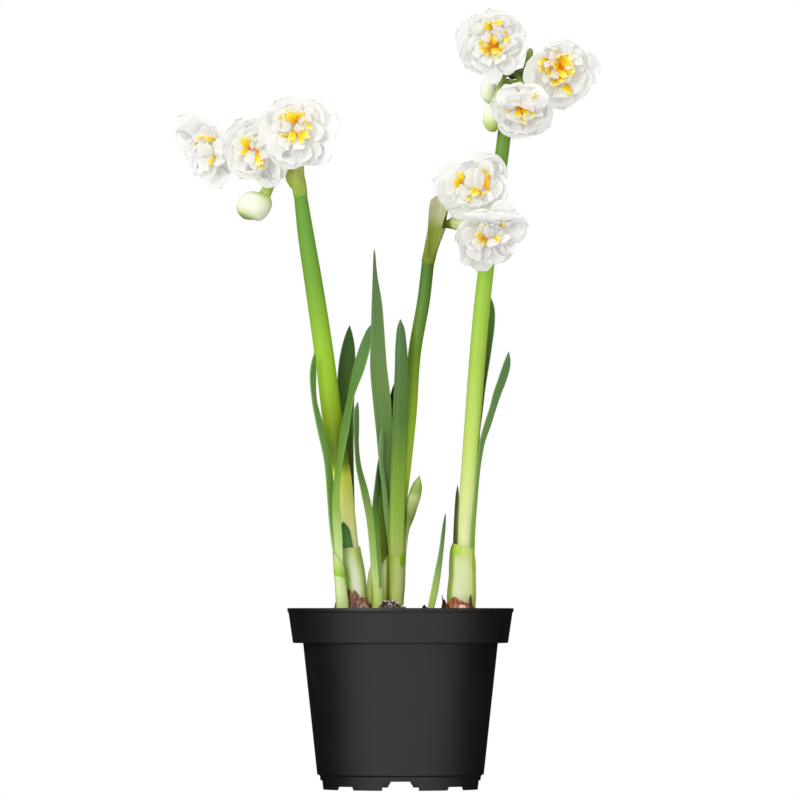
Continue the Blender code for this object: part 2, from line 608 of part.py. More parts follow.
def leaf(bm, rows, cols, cup=0.5, grow=0.0):
    """A strap leaf with a thick middle and thin edges along rows of (x, y, z, width, turn)."""
    points = [Vector(row[:3]) for row in rows]
    ways = path_directions(points)
    points[0] = points[0] - ways[0] * grow
    front = []
    back = []
    for point, way, row in zip(points, ways, rows):
        side = Vector((1, 0, 0))
        side = (side - way * side.dot(way)).normalized()
        normal = side.cross(way)
        turn = math.radians(row[4])
        side, normal = (side * math.cos(turn) - normal * math.sin(turn),
                        normal * math.cos(turn) + side * math.sin(turn))
        half = row[3] / 2
        shallow = cup * min(1.0, half / 3.5)
        front_row = []
        back_row = []
        for j in range(cols):
            u = 2 * j / (cols - 1) - 1
            thick = (LEAF_EDGE + (LEAF_THICKNESS - LEAF_EDGE) * (1 - abs(u)) * min(1.0, half / 2.5)) / 2
            middle = point + side * u * (half + grow) + normal * shallow * u * u
            front_row.append(middle + normal * (thick + grow))
            back_row.append(middle - normal * (thick + grow))
        front.append(front_row)
        back.append(back_row)
    sheet(bm, front, back)


def petal_width(t):
    """Width of a petal along its length, as a share of its widest."""
    rise = 0.18 + 0.82 * math.sin(math.pi / 2 * min(1.0, t / 0.6))
    return rise * math.sqrt(max(0.0, 1 - t ** 3.2)) + 0.20 * t


def petal(bm, bloom, sort, angle, reach, width, rows, cols, lift=0.0):
    """One petal: a curve outwards from the middle of the bloom, cupped across."""
    axis = Vector(bloom["faces"]).normalized()
    up = Vector((0, 0, 1))
    up = (up - axis * up.dot(axis)).normalized()
    right = up.cross(axis)
    centre = Vector(bloom["centre"])
    turn = math.radians(angle)
    out = right * math.cos(turn) + up * math.sin(turn)
    side = up * math.cos(turn) - right * math.sin(turn)
    (r0, h0), (share1, h1), (share2, h2), cup = SORTS[sort]
    h1 += lift
    h2 += lift
    r1 = share1 * reach
    r2 = share2 * reach
    front = []
    back = []
    for i in range(rows):
        t = i / (rows - 1)
        r = (1 - t) ** 2 * r0 + 2 * t * (1 - t) * r1 + t * t * r2
        h = (1 - t) ** 2 * h0 + 2 * t * (1 - t) * h1 + t * t * h2
        dr = 2 * (1 - t) * (r1 - r0) + 2 * t * (r2 - r1)
        dh = 2 * (1 - t) * (h1 - h0) + 2 * t * (h2 - h1)
        slope = math.hypot(dr, dh)
        normal = axis * (dr / slope) - out * (dh / slope)
        half = width * petal_width(t) / 2
        front_row = []
        back_row = []
        for j in range(cols):
            u = 2 * j / (cols - 1) - 1
            middle = centre + out * r + axis * h + side * u * half + normal * cup * u * u * half
            front_row.append(middle + normal * PETAL_THICKNESS / 2)
            back_row.append(middle - normal * PETAL_THICKNESS / 2)
        front.append(front_row)
        back.append(back_row)
    sheet(bm, front, back)


def ball(bm, centre, axis, radius, height, around, levels):
    """A rounded lump, its height along the axis."""
    turn = Vector((0, 0, 1)).rotation_difference(Vector(axis)).to_matrix()
    made = bmesh.ops.create_uvsphere(bm, u_segments=around, v_segments=levels, radius=1.0)
    for vert in made["verts"]:
        local = Vector((vert.co.x * radius, vert.co.y * radius, vert.co.z * height))
        vert.co = turn @ local + Vector(centre)


def solid(name, draw, collection, mat=None):
    bm = bmesh.new()
    draw(bm)
    return to_object(bm, name, collection, mat)


def combine(obj, tools, operation):
    """Join or cut with all the tool objects in one Boolean, then remove them."""
    group = bpy.data.collections.new(obj.name + "_tools")
    bench.children.link(group)
    for tool in tools:
        bench.objects.unlink(tool)
        group.objects.link(tool)
    boolean = obj.modifiers.new(operation.lower(), "BOOLEAN")
    boolean.operation = operation
    boolean.operand_type = "COLLECTION"
    boolean.collection = group
    boolean.solver = "MANIFOLD"
    bpy.context.view_layer.update()
    graph = bpy.context.evaluated_depsgraph_get()
    made = bpy.data.meshes.new_from_object(obj.evaluated_get(graph))
    obj.modifiers.clear()
    old = obj.data
    obj.data = made
    bpy.data.meshes.remove(old)
    made.name = obj.name
    for tool in tools:
        bpy.data.objects.remove(tool, do_unlink=True)
    bpy.data.collections.remove(group)
    return obj


def welded(mesh, closer):
    """The mesh in triangles, with points nearer than closer (mm) joined and no folded slivers."""
    bm = bmesh.new()
    bm.from_mesh(mesh)
    bmesh.ops.triangulate(bm, faces=bm.faces)
    bmesh.ops.remove_doubles(bm, verts=bm.verts, dist=closer / 1000)
    alike = {}
    for face in bm.faces:
        alike.setdefault(frozenset(face.verts), []).append(face)
    doubled = [face for faces in alike.values() if len(faces) > 1 for face in faces]
    bmesh.ops.delete(bm, geom=doubled, context="FACES")
    return bm


def tidy(obj):
    """Weld the slivers as widely as keeps the surface closed, then keep the largest body."""
    for closer in (0.02, 0.012, 0.008, 0.005, 0.003, 0.001):
        bm = welded(obj.data, closer)
        faults = [edge for edge in bm.edges if len(edge.link_faces) != 2]
        if not faults:
            break
        print(obj.name, "weld of", closer, "leaves faults:", len(faults))
        bm.free()
    seen = set()
    bodies = []
    for start in bm.verts:
        if start in seen:
            continue
        stack = [start]
        seen.add(start)
        body = []
        while stack:
            vert = stack.pop()
            body.append(vert)
            for link in vert.link_edges:
                other = link.other_vert(vert)
                if other not in seen:
                    seen.add(other)
                    stack.append(other)
        bodies.append(body)
    bodies.sort(key=len, reverse=True)
    for body in bodies[1:]:
        print(obj.name, "loose scrap dropped, points:", len(body))
        bmesh.ops.delete(bm, geom=body, context="VERTS")
    bm.to_mesh(obj.data)
    bm.free()
    return obj


# Pot
pot_material = material("pot_black_plastic", COLOURS["pot"], 0.42)
band_foot = POT_HEIGHT - BAND_DROP
inner_floor = BODY_FOOT_RADIUS - POT_WALL
pot_profile = [
    (0, FLOOR_UNDERSIDE), (FOOT_RADIUS - 2.2, FLOOR_UNDERSIDE), (FOOT_RADIUS - 1.6, 0), (FOOT_RADIUS, 0),
    (FOOT_RADIUS + 0.8, STEP_HEIGHT - 0.7), (BODY_FOOT_RADIUS, STEP_HEIGHT),
    (BODY_TOP_RADIUS, band_foot), (BAND_FOOT_RADIUS - 0.6, band_foot),
    (BAND_FOOT_RADIUS, band_foot + 0.7), (BAND_TOP_RADIUS, POT_HEIGHT - 2.4),
    (LIP_RADIUS, POT_HEIGHT - 1.6), (LIP_RADIUS, POT_HEIGHT - 0.4), (LIP_RADIUS - 0.5, POT_HEIGHT),
    (BAND_TOP_RADIUS - POT_WALL, POT_HEIGHT), (BAND_FOOT_RADIUS - POT_WALL, band_foot + POT_WALL + 0.4),
    (BODY_TOP_RADIUS - POT_WALL + 0.2, band_foot + POT_WALL - 0.4), (inner_floor, FLOOR_TOP + 1.2),
    (inner_floor - 1.2, FLOOR_TOP), (0, FLOOR_TOP),
]


def lathe(bm, profile, around):
    """Turn a profile of (radius, height) round the pot's axis; it starts and ends on the axis."""
    first = bm.verts.new((0, 0, profile[0][1]))
    last = bm.verts.new((0, 0, profile[-1][1]))
    rings = []
    for radius, height in profile[1:-1]:
        ring = []
        for i in range(around):
            angle = math.tau * (i + 0.5) / around
            ring.append(bm.verts.new((radius * math.cos(angle), radius * math.sin(angle), height)))
        rings.append(ring)
    for i in range(around):
        j = (i + 1) % around
        bm.faces.new((first, rings[0][j], rings[0][i]))
        bm.faces.new((last, rings[-1][i], rings[-1][j]))
        for low, high in zip(rings, rings[1:]):
            bm.faces.new((low[i], low[j], high[j], high[i]))


def notch(bm, size, angle):
    """A bar with sloped flanks right across the foot."""
    foot, top, height = size
    reach = FOOT_RADIUS + 8
    rings = []
    for end in (-reach, reach):
        ring = []
        for across, level in ((-foot / 2, -2), (foot / 2, -2), (foot / 2, 0.4), (top / 2, height),
                              (-top / 2, height), (-foot / 2, 0.4)):
            spot = Vector((across, end, level))
            ring.append((spot.x * math.cos(angle) - spot.y * math.sin(angle),
                         spot.x * math.sin(angle) + spot.y * math.cos(angle), spot.z))
        rings.append(ring)
    bridge(bm, rings)


pot = solid("pot", lambda bm: lathe(bm, pot_profile, 36), plant, pot_material)
foot_tools = []
for quarter in range(2):
    foot_tools.append(solid(
        f"big_notch_{quarter}", lambda bm: notch(bm, BIG_NOTCH, math.pi / 2 * quarter), bench))
    foot_tools.append(solid(
        f"small_notch_{quarter}",
        lambda bm: notch(bm, SMALL_NOTCH, math.pi / 4 + math.pi / 2 * quarter), bench))
for corner in range(4):
    turn = math.pi / 4 + math.pi / 2 * corner
    spot = (DRAIN_CIRCLE * math.cos(turn), DRAIN_CIRCLE * math.sin(turn))
    foot_tools.append(solid(
        f"drain_{corner}",
        lambda bm: column(bm, [(*spot, FLOOR_UNDERSIDE - 2, DRAIN_HOLE_RADIUS, DRAIN_HOLE_RADIUS),
                               (*spot, FLOOR_TOP + 2, DRAIN_HOLE_RADIUS, DRAIN_HOLE_RADIUS)], 10),
        bench))
tidy(combine(pot, foot_tools, "DIFFERENCE"))

# Bulbs, sheaths, stems and leaves
SHAPES = {}


def shape(name, grow=0.0):
    """Draw a named piece of the plant, grown by a clearance when it is used as a cutter."""
    def draw(bm):
        if name in LEAVES:
            leaf(bm, LEAVES[name], 5 if name in WIDE_LEAVES else 3, LEAF_CUP.get(name, 0.5), grow)
        elif name in STEMS:
            tube(bm, STEMS[name], 8 if name == "young_bud" else 10, grow)
        elif name in SHEATHS:
            column(bm, SHEATHS[name], 12, 2.5, grow)
        else:
            column(bm, BULBS[name], 12, 2.0, grow)
    return draw


for name, rows in BULBS.items():
    bulb = solid(name, shape(name), plant, material(name + "_tunic", COLOURS["bulb"], 0.6))
    tools = [solid(held + "_room", shape(held, GAP), bench) for held in BULB_HOLDS[name]]
    tidy(combine(bulb, tools, "DIFFERENCE"))

for name in SHEATHS:
    sheath = solid(name, shape(name), plant, material(name + "_skin", COLOURS["sheath"], 0.45))
    tools = [solid(held + "_room", shape(held, GAP), bench) for held in SHEATH_HOLDS[name]]
    tidy(combine(sheath, tools, "DIFFERENCE"))

for name in STEMS:
    colour = COLOURS["pedicel"] if name == "young_bud" else COLOURS["stem"]
    tidy(solid(name, shape(name), plant, material(name + "_green", colour, 0.4)))

for name in LEAVES:
    tidy(solid(name, shape(name), plant, material(name + "_green", COLOURS["leaf"], 0.45)))


# Soil
def soil_height(x, y):
    """The top of the peat: nearly level, with a heap before the middle sheath."""
    heap = 9.5 * math.exp(-((x + 1) ** 2 / 120 + (y + 12) ** 2 / 90))
    behind = 4.0 * math.exp(-((x + 4) ** 2 / 300 + (y - 18) ** 2 / 200))
    bumps = 1.3 * noise.noise(Vector((x / 9, y / 9, 3.1))) + 0.8 * noise.noise(Vector((x / 4, y / 4, 7.7)))
    return SOIL_LEVEL + heap + behind + bumps


def soil_body(bm):
    around = 20
    rings = []
    wall = [(inner_floor - 1.2 - GAP, FLOOR_TOP + GAP), (inner_floor - GAP, FLOOR_TOP + 1.4),
            (BODY_TOP_RADIUS - POT_WALL - GAP, band_foot + POT_WALL),
            (BAND_FOOT_RADIUS - POT_WALL - 0.6, band_foot + POT_WALL + 1.1)]
    for radius, height in wall:
        rings.append([(radius, height)] * around)
    for radius in (61.4, 47, 32, 17):
        rings.append([(radius, None)] * around)
    loops = []
    for ring in rings:
        loop = []
        for i, (radius, height) in enumerate(ring):
            angle = math.tau * (i + 0.5) / around
            x = radius * math.cos(angle)
            y = radius * math.sin(angle)
            loop.append(bm.verts.new((x, y, soil_height(x, y) if height is None else height)))
        loops.append(loop)
    for low, high in zip(loops, loops[1:]):
        for i in range(around):
            j = (i + 1) % around
            bm.faces.new((low[i], low[j], high[j], high[i]))
    bm.faces.new(loops[0][::-1])
    middle = bm.verts.new((0, 0, soil_height(0, 0)))
    for i in range(around):
        bm.faces.new((loops[-1][i], loops[-1][(i + 1) % around], middle))


soil = solid("soil", soil_body, plant, material("soil_peat", COLOURS["soil"], 0.95))
in_soil = list(BULBS) + list(SHEATHS) + ["leaf_lone"]
tidy(combine(soil, [solid(name + "_room", shape(name, GAP), bench) for name in in_soil], "DIFFERENCE"))

# Blooms
for name, bloom in BLOOMS.items():
    axis = Vector(bloom["faces"]).normalized()
    centre = Vector(bloom["centre"])
    white = solid(
        name + "_petals",
        lambda bm: ball(bm, centre - axis * 5.4, axis, 3.6, 2.6, 8, 4), plant,
        material(name + "_white", COLOURS["white"], 0.5))
    tools = []
    for k, (sort, angle, reach, width) in enumerate(bloom["white"]):
        rows = 4 if sort in ("outer", "second", "hood") else 3
        lift = 1.5 * (k % 2) if sort == "inner" else 0.0
        tools.append(solid(
            f"{name}_petal_{k}",
            lambda bm: petal(bm, bloom, sort, angle, reach, width, rows, 3, lift), bench))
    tidy(combine(white, tools, "UNION"))
    yellow = solid(
        name + "_corona",
        lambda bm: ball(bm, centre - axis * 0.4, axis, 2.2, 1.9, 7, 4), plant,
        material(name + "_yellow", COLOURS["yellow"], 0.5))
    tools = []
    for k, (angle, reach, width) in enumerate(bloom["yellow"]):
        tools.append(solid(
            f"{name}_frill_{k}",
            lambda bm: petal(bm, bloom, "frill", angle, reach, width, 3, 3), bench))
    tidy(combine(yellow, tools, "UNION"))

# Buds, spathes and pedicels
for name, rows in BUDS.items():
    tidy(solid(name, lambda bm: tube(bm, rows, 10), plant, material(name + "_skin", COLOURS["bud"], 0.45)))

for name, parts in SPATHES.items():
    spathe = solid(name, lambda bm: tube(bm, parts["tube"], 10), plant,
                   material(name + "_skin", COLOURS["spathe"], 0.55))
    flap = solid(name + "_flap", lambda bm: leaf(bm, parts["flap"], 3, 0.6), bench)
    tidy(combine(spathe, [flap], "UNION"))

for name, parts in PEDICELS.items():
    x, y, z, radius = parts["knob"]
    knob = solid(name, lambda bm: ball(bm, (x, y, z), (0, 0, 1), radius, 2.7, 8, 5), plant,
                 material(name + "_green", COLOURS["pedicel"], 0.4))
    tools = []
    for bloom_name, path in parts["to_blooms"].items():
        bloom = BLOOMS[bloom_name]
        axis = Vector(bloom["faces"]).normalized()
        end = Vector(bloom["centre"]) - axis * (8.0 + GAP + 0.1)
        back = Vector(bloom["centre"]) - axis * 11.5
        rows = [(x, y, z, 1.6)] + path + [(*back, 2.3), (*end, 2.1)]
        tools.append(solid(bloom_name + "_tube", lambda bm: tube(bm, rows, 6), bench))
    for bud_name, path in parts["to_buds"].items():
        neck = Vector(BUDS[bud_name][0][:3])
        way = (Vector(BUDS[bud_name][1][:3]) - neck).normalized()
        thick = BUDS[bud_name][0][3] * 0.85
        rows = [(x, y, z, 1.6)] + path + [(*(neck - way * 3), thick), (*(neck - way * (GAP + 0.1)), thick)]
        tools.append(solid(bud_name + "_tube", lambda bm: tube(bm, rows, 6), bench))
    tidy(combine(knob, tools, "UNION"))

bpy.data.collections.remove(bench)
total = 0
for obj in plant.objects:
    total += len(obj.data.polygons)
    print(obj.name, len(obj.data.polygons))
print("triangles", total, "nodes", len(plant.objects))
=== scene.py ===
"""A double daffodil in a black nursery pot, finished round its CAD frame as a lesson in cells."""

# %% [markdown]
# A pot of double daffodils
#
# The frame holds the sizes of this plant: the pot, the peat, the bulbs, and a plain solid for each
# leaf, stem and bloom. Here each of them gets its real surface. Everything grows from the pot's
# axis, so the numbers below are millimetres from that axis, as one would measure a real plant,
# and one function turns them into the frame's metres.

# %% Load the frame
import math
import random
from math import cos
from math import sin

import bmesh
import bpy
import numpy as np
from mathutils import Matrix
from mathutils import Vector
from mathutils import noise


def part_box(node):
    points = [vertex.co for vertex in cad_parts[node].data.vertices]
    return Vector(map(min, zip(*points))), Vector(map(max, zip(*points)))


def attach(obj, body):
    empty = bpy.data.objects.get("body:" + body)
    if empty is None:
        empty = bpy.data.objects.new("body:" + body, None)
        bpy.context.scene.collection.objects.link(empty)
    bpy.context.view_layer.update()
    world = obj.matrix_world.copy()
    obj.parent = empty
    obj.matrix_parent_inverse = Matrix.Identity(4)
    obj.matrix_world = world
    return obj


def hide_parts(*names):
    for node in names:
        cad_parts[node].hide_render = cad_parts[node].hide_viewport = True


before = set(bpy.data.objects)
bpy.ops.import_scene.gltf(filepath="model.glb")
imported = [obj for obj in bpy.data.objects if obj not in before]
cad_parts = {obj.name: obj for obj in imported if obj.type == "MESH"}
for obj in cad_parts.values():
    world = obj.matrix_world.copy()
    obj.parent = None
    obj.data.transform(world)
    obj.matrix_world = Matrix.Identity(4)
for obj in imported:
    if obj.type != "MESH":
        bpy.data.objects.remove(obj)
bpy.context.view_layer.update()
pot_low, pot_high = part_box("pot")
POT_AXIS_X = (pot_low.x + pot_high.x) / 2
POT_RADIUS = (pot_high.x - pot_low.x) / 2
POT_HEIGHT = pot_high.z
MM = 0.001


def place(x, y, z):
    """A point given in millimetres from the pot's axis, in the frame's metres."""
    return Vector((x * MM + POT_AXIS_X, y * MM, z * MM))


def add_object(name, data):
    """Put an object into the scene that holds a camera, a lamp or a mesh."""
    obj = bpy.data.objects.new(name, data)
    bpy.context.scene.collection.objects.link(obj)
    return obj


def add_mesh(name, bm):
    """Put a finished bmesh into the scene and free it."""
    mesh = bpy.data.meshes.new(name)
    bm.to_mesh(mesh)
    bm.free()
    return add_object(name, mesh)


print("nodes", len(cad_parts), "pot height", round(POT_HEIGHT, 4), "lip radius", round(POT_RADIUS, 4))

# %% [markdown]
# The camera
#
# A product photo of a tall plant is taken from far away with a long lens, so that the pot's rim
# looks flat and the flowers aren't larger than they are. The camera stands five metres off, at the
# height of the rim, and looks at the middle of the plant.

# %% Stand the camera where the photographer stood
PHOTO_PIXELS = 800
MM_PER_PIXEL = 0.575
POT_AXIS_COLUMN = 400.5
FLOOR_ROW = 789
CAMERA_DISTANCE = 5.0
CAMERA_HEIGHT = 0.106
SENSOR_WIDTH = 36.0

middle = PHOTO_PIXELS / 2
aim = place((middle - POT_AXIS_COLUMN) * MM_PER_PIXEL, 0, (FLOOR_ROW - middle) * MM_PER_PIXEL)
stand = Vector((aim.x, -CAMERA_DISTANCE, CAMERA_HEIGHT))
photo_width = PHOTO_PIXELS * MM_PER_PIXEL * MM
camera_data = bpy.data.cameras.new("photo_camera")
camera_data.sensor_width = SENSOR_WIDTH
camera_data.lens = SENSOR_WIDTH * (aim - stand).length / photo_width
camera_data.clip_end = 50
camera = add_object("photo_camera", camera_data)
camera.location = stand
camera.rotation_euler = (aim - stand).to_track_quat("-Z", "Y").to_euler()
bpy.context.scene.camera = camera
print("lens", round(camera_data.lens, 1), "mm")

# %% [markdown]
# Lamps
#
# White petals on a white ground only show their folds when the light comes more from one side.
# Soft boxes at the left, above and behind do that. They are square area lamps, because a small
# lamp would draw hard shadows that the photo doesn't have.

# %% Hang the lamps
# Where each lamp hangs, its size and its power
SOFT_BOXES = {
    "front_box": ((-1.5, -2.2, 1.0), 0.9, 26.0),
    "top_box": ((-0.5, -0.3, 2.2), 1.0, 13.0),
    "back_box": ((0.6, 2.4, 1.2), 1.2, 8.0),
}


def soft_box(name, spot, size, power):
    """A square lamp that faces the middle of the plant."""
    data = bpy.data.lights.new(name, "AREA")
    data.size = size
    data.energy = power
    lamp = add_object(name, data)
    lamp.location = spot
    lamp.rotation_euler = (aim - Vector(spot)).to_track_quat("-Z", "Y").to_euler()


for box_name, (spot, size, power) in SOFT_BOXES.items():
    soft_box(box_name, spot, size, power)
print("lamps", len(SOFT_BOXES))

# %% [markdown]
# The world
#
# The photo was lit by a wide white panel round the camera, so the black pot shines in the middle
# and its flanks stay dark, and the stems are brightest along the side that faces us. The world
# stands in for the panel: it is bright in front and dim behind, and more sharply so where a gloss
# reflects it. The camera itself sees plain white.

# %% Light the world
# A panel's light fades between two values of a direction's Y, from the first brightness in front
# of the plant to the second behind it
FILL_PANEL = (-0.6, 0.5, 0.95, 0.62)
GLOSS_PANEL = (-0.66, 0.1, 1.0, 0.01)


def feed(tree, socket, value):
    """Set a socket to a plain value, or link the output of another node to it."""
    if isinstance(value, (int, float, tuple)):
        socket.default_value = value
    else:
        tree.links.new(value, socket)


def either(tree, choice, when_not, when):
    """One of two values, by a choice of 0 or 1."""
    node = tree.nodes.new("ShaderNodeMix")
    for socket, value in (("Factor", choice), ("A", when_not), ("B", when)):
        feed(tree, node.inputs[socket], value)
    return node.outputs["Result"]


def remap(tree, value, low, high, to_low, to_high, way="LINEAR"):
    """Move a value from one span to another and stop it at the ends."""
    node = tree.nodes.new("ShaderNodeMapRange")
    node.interpolation_type = way
    for socket, number in zip(("From Min", "From Max", "To Min", "To Max"), (low, high, to_low, to_high)):
        node.inputs[socket].default_value = number
    tree.links.new(value, node.inputs["Value"])
    return node.outputs["Result"]


def studio_world():
    """White for the camera, and a panel in front of the plant for everything else."""
    world = bpy.data.worlds.new("studio")
    world.use_nodes = True
    tree = world.node_tree
    backdrop = tree.nodes["Background"]
    path = tree.nodes.new("ShaderNodeLightPath")
    direction = tree.nodes.new("ShaderNodeTexCoord")
    parts = tree.nodes.new("ShaderNodeSeparateXYZ")
    tree.links.new(direction.outputs["Generated"], parts.inputs["Vector"])
    panels = [remap(tree, parts.outputs["Y"], *panel, "SMOOTHSTEP") for panel in (FILL_PANEL, GLOSS_PANEL)]
    lit = either(tree, path.outputs["Is Glossy Ray"], *panels)
    tree.links.new(either(tree, path.outputs["Is Camera Ray"], lit, 1.0), backdrop.inputs["Strength"])
    backdrop.inputs["Color"].default_value = (1, 1, 1, 1)
    return world


bpy.context.scene.world = studio_world()
bpy.context.scene.view_settings.view_transform = "Standard"
print("world", bpy.context.scene.world.name)

# %% [markdown]
# The floor
#
# The photo shows neither a horizon nor a shadow, so the plant stands on a light table: a plane that
# glows white for the camera and a little less for the plant, and that reflects nothing.

# %% Lay the floor
FLOOR_SIZE = 14.0
FLOOR_GLOW = 0.8


def finish(name, roughness, specular=0.5):
    """A new material with its shader's plain values set; gives the material, its tree and shader."""
    mat = bpy.data.materials.new(name)
    mat.use_nodes = True
    shader = mat.node_tree.nodes["Principled BSDF"]
    shader.inputs["Roughness"].default_value = roughness
    shader.inputs["Specular IOR Level"].default_value = specular
    return mat, mat.node_tree, shader


def light_table_white():
    """White for the camera, and a soft glow towards the plant."""
    mat, tree, shader = finish("floor_white", 1.0, 0.0)
    shader.inputs["Base Color"].default_value = (0, 0, 0, 1)
    shader.inputs["Emission Color"].default_value = (1, 1, 1, 1)
    path = tree.nodes.new("ShaderNodeLightPath")
    glow = either(tree, path.outputs["Is Camera Ray"], FLOOR_GLOW, 1.0)
    tree.links.new(glow, shader.inputs["Emission Strength"])
    return mat


floor_bm = bmesh.new()
bmesh.ops.create_grid(floor_bm, x_segments=1, y_segments=1, size=FLOOR_SIZE / 2)
floor = add_mesh("floor", floor_bm)
floor.visible_glossy = False
floor.data.materials.append(light_table_white())
print("floor", FLOOR_SIZE, "m wide")

# %% [markdown]
# Painting by position on the plant
#
# A leaf is pale where it leaves the bulb and blue-green at its tip, and its veins run lengthwise.
# Both follow the leaf and not the room, so every piece that grows stores two numbers at each of
# its points: along, which runs from 0 at the base to 1 at the tip, and across, which runs from -1
# at one edge to 1 at the other. A third number, tone, differs a little from petal to petal.
# The finishes read these numbers.

# %% Helpers for finishes
def srgb(red, green, blue):
    """A colour as seen on a screen, from 0 to 255, as the shader's linear values."""
    linear = []
    for value in (red, green, blue):
        share = value / 255
        linear.append(share / 12.92 if share <= 0.04045 else ((share + 0.055) / 1.055) ** 2.4)
    return (*linear, 1.0)


def stored(tree, name):
    """A number that the piece stores at its points."""
    node = tree.nodes.new("ShaderNodeAttribute")
    node.attribute_name = name
    return node.outputs["Fac"]


def ramp(tree, value, stops):
    """Colours along a value; a stop is a position from 0 to 1 and a colour as seen on a screen."""
    node = tree.nodes.new("ShaderNodeValToRGB")
    elements = node.color_ramp.elements
    for k, (position, colour) in enumerate(stops):
        element = elements[k] if k < 2 else elements.new(position)
        element.position = position
        element.color = srgb(*colour)
    tree.links.new(value, node.inputs["Fac"])
    return node.outputs["Color"]


def sums(tree, operation, first, second):
    """One step of arithmetic on two values, either of which may be a plain number."""
    node = tree.nodes.new("ShaderNodeMath")
    node.operation = operation
    for socket, value in zip(node.inputs, (first, second)):
        feed(tree, socket, value)
    return node.outputs["Value"]


def blend(tree, factor, first, second, how="MIX"):
    """Mix two colours by a factor."""
    node = tree.nodes.new("ShaderNodeMix")
    node.data_type = "RGBA"
    node.blend_type = how
    # A mix node has sockets for each sort of value, and those for colours are 6, 7 and output 2
    for socket, value in ((0, factor), (6, first), (7, second)):
        feed(tree, node.inputs[socket], value)
    return node.outputs[2]


print("red of a screen grey of 128 is", round(srgb(128, 128, 128)[0], 3))

# %% [markdown]
# Streaks, specks and plant skin
#
# The skin of a leaf has fine veins from foot to tip. A noise that is fine across the piece and
# drawn out along it makes such streaks, and also the fibres of a dry bulb skin. Peat and plastic
# have no grain, so their noise is read in the object's own space. Leaves, stems, stalks, spathes
# and buds share one finish: colours from foot to tip, made lighter and darker by the streaks, with
# the veins in low relief.

# %% Helpers for grown finishes
TONE_SPREAD = 9.0
# A noise seldom leaves this span
NOISE_SPAN = (0.3, 0.7)


def grown_streaks(tree, fine, long=1.5, detail=3.0):
    """Streaks that run lengthwise: a noise drawn out along the piece and fine across it."""
    where = tree.nodes.new("ShaderNodeCombineXYZ")
    for axis, name, stretch in (("X", "across", fine), ("Y", "along", long), ("Z", "tone", TONE_SPREAD)):
        tree.links.new(sums(tree, "MULTIPLY", stored(tree, name), stretch), where.inputs[axis])
    node = tree.nodes.new("ShaderNodeTexNoise")
    node.inputs["Scale"].default_value = 1.0
    node.inputs["Detail"].default_value = detail
    node.inputs["Roughness"].default_value = 0.6
    tree.links.new(where.outputs["Vector"], node.inputs["Vector"])
    return node.outputs["Fac"]


def speckle(tree, scale, detail=4.0):
    """A noise in the object's own space; scale is in cells to a metre."""
    where = tree.nodes.new("ShaderNodeTexCoord")
    node = tree.nodes.new("ShaderNodeTexNoise")
    node.inputs["Scale"].default_value = scale
    node.inputs["Detail"].default_value = detail
    tree.links.new(where.outputs["Object"], node.inputs["Vector"])
    return node.outputs["Fac"]


def relief(tree, shader, height, distance, strength=1.0):
    """Bump the surface by a height."""
    node = tree.nodes.new("ShaderNodeBump")
    node.inputs["Distance"].default_value = distance
    node.inputs["Strength"].default_value = strength
    tree.links.new(height, node.inputs["Height"])
    tree.links.new(node.outputs["Normal"], shader.inputs["Normal"])


def let_light_through(shader, weight, distance, reach=(0.9, 1.0, 0.5)):
    """Scatter light under the skin, as far as distance in metres times each colour's reach."""
    shader.inputs["Subsurface Weight"].default_value = weight
    shader.inputs["Subsurface Radius"].default_value = reach
    shader.inputs["Subsurface Scale"].default_value = distance


GREEN_DEPTH = 0.004


def grown_finish(name, stops, streak=0.16, fine=7.0, roughness=0.42, specular=0.4, edge=None, through=0.0):
    """Colours from base to tip, lengthwise streaks, and where asked a colour along the edges."""
    mat, tree, shader = finish(name, roughness, specular)
    let_light_through(shader, through, GREEN_DEPTH)
    colour = ramp(tree, stored(tree, "along"), stops)
    streaks = grown_streaks(tree, fine)
    shade = remap(tree, streaks, *NOISE_SPAN, 1.0 - streak, 1.0 + streak)
    colour = blend(tree, 1.0, colour, shade, "MULTIPLY")
    if edge is not None:
        rim = remap(tree, sums(tree, "ABSOLUTE", stored(tree, "across"), 0.0), 0.82, 1.0, 0.0, 0.7)
        colour = blend(tree, rim, colour, edge)
    tree.links.new(colour, shader.inputs["Base Color"])
    relief(tree, shader, grown_streaks(tree, fine * 3, long=2.0), distance=0.0002, strength=0.5)
    return mat


print("light goes", GREEN_DEPTH / MM, "mm into a green skin")

# %% [markdown]
# Bars along a path
#
# A stem, a strap leaf, a sheath, a flower stalk and a bud are all a bar that follows a path and
# changes its section on the way. It could be a curve with a bevel, but then a leaf's flat section
# and its twist are hard to steer. So a capped cylinder is cut into even steps, and each ring of
# points is moved to its place on a smooth curve through a few measured rows.

# %% Helpers for bars
def oval_point(angle, half_width, half_depth, reach=1.0):
    """Where an oval's point lies across and deep; reach pushes it out for a ridge or in for a seam."""
    return half_width * reach * cos(angle), half_depth * reach * sin(angle)


def smooth_rows(rows, steps):
    """Sample a smooth curve through rows of numbers, of which the first three are a place."""
    rows = np.array(rows, float)
    gaps = np.linalg.norm(np.diff(rows[:, :3], axis=0), axis=1)
    shares = np.concatenate([[0.0], np.cumsum(gaps)]) / gaps.sum()
    slopes = np.gradient(rows, shares, axis=0)
    made = []
    for t in np.linspace(0, 1, steps + 1):
        i = min(int(np.searchsorted(shares, t, side="right")) - 1, len(rows) - 2)
        span = shares[i + 1] - shares[i]
        s = (t - shares[i]) / span
        made.append((2 * s**3 - 3 * s**2 + 1) * rows[i] + (3 * s**2 - 2 * s**3) * rows[i + 1]
                    + (s**3 - 2 * s**2 + s) * span * slopes[i] + (s**3 - s**2) * span * slopes[i + 1])
    return np.array(made)


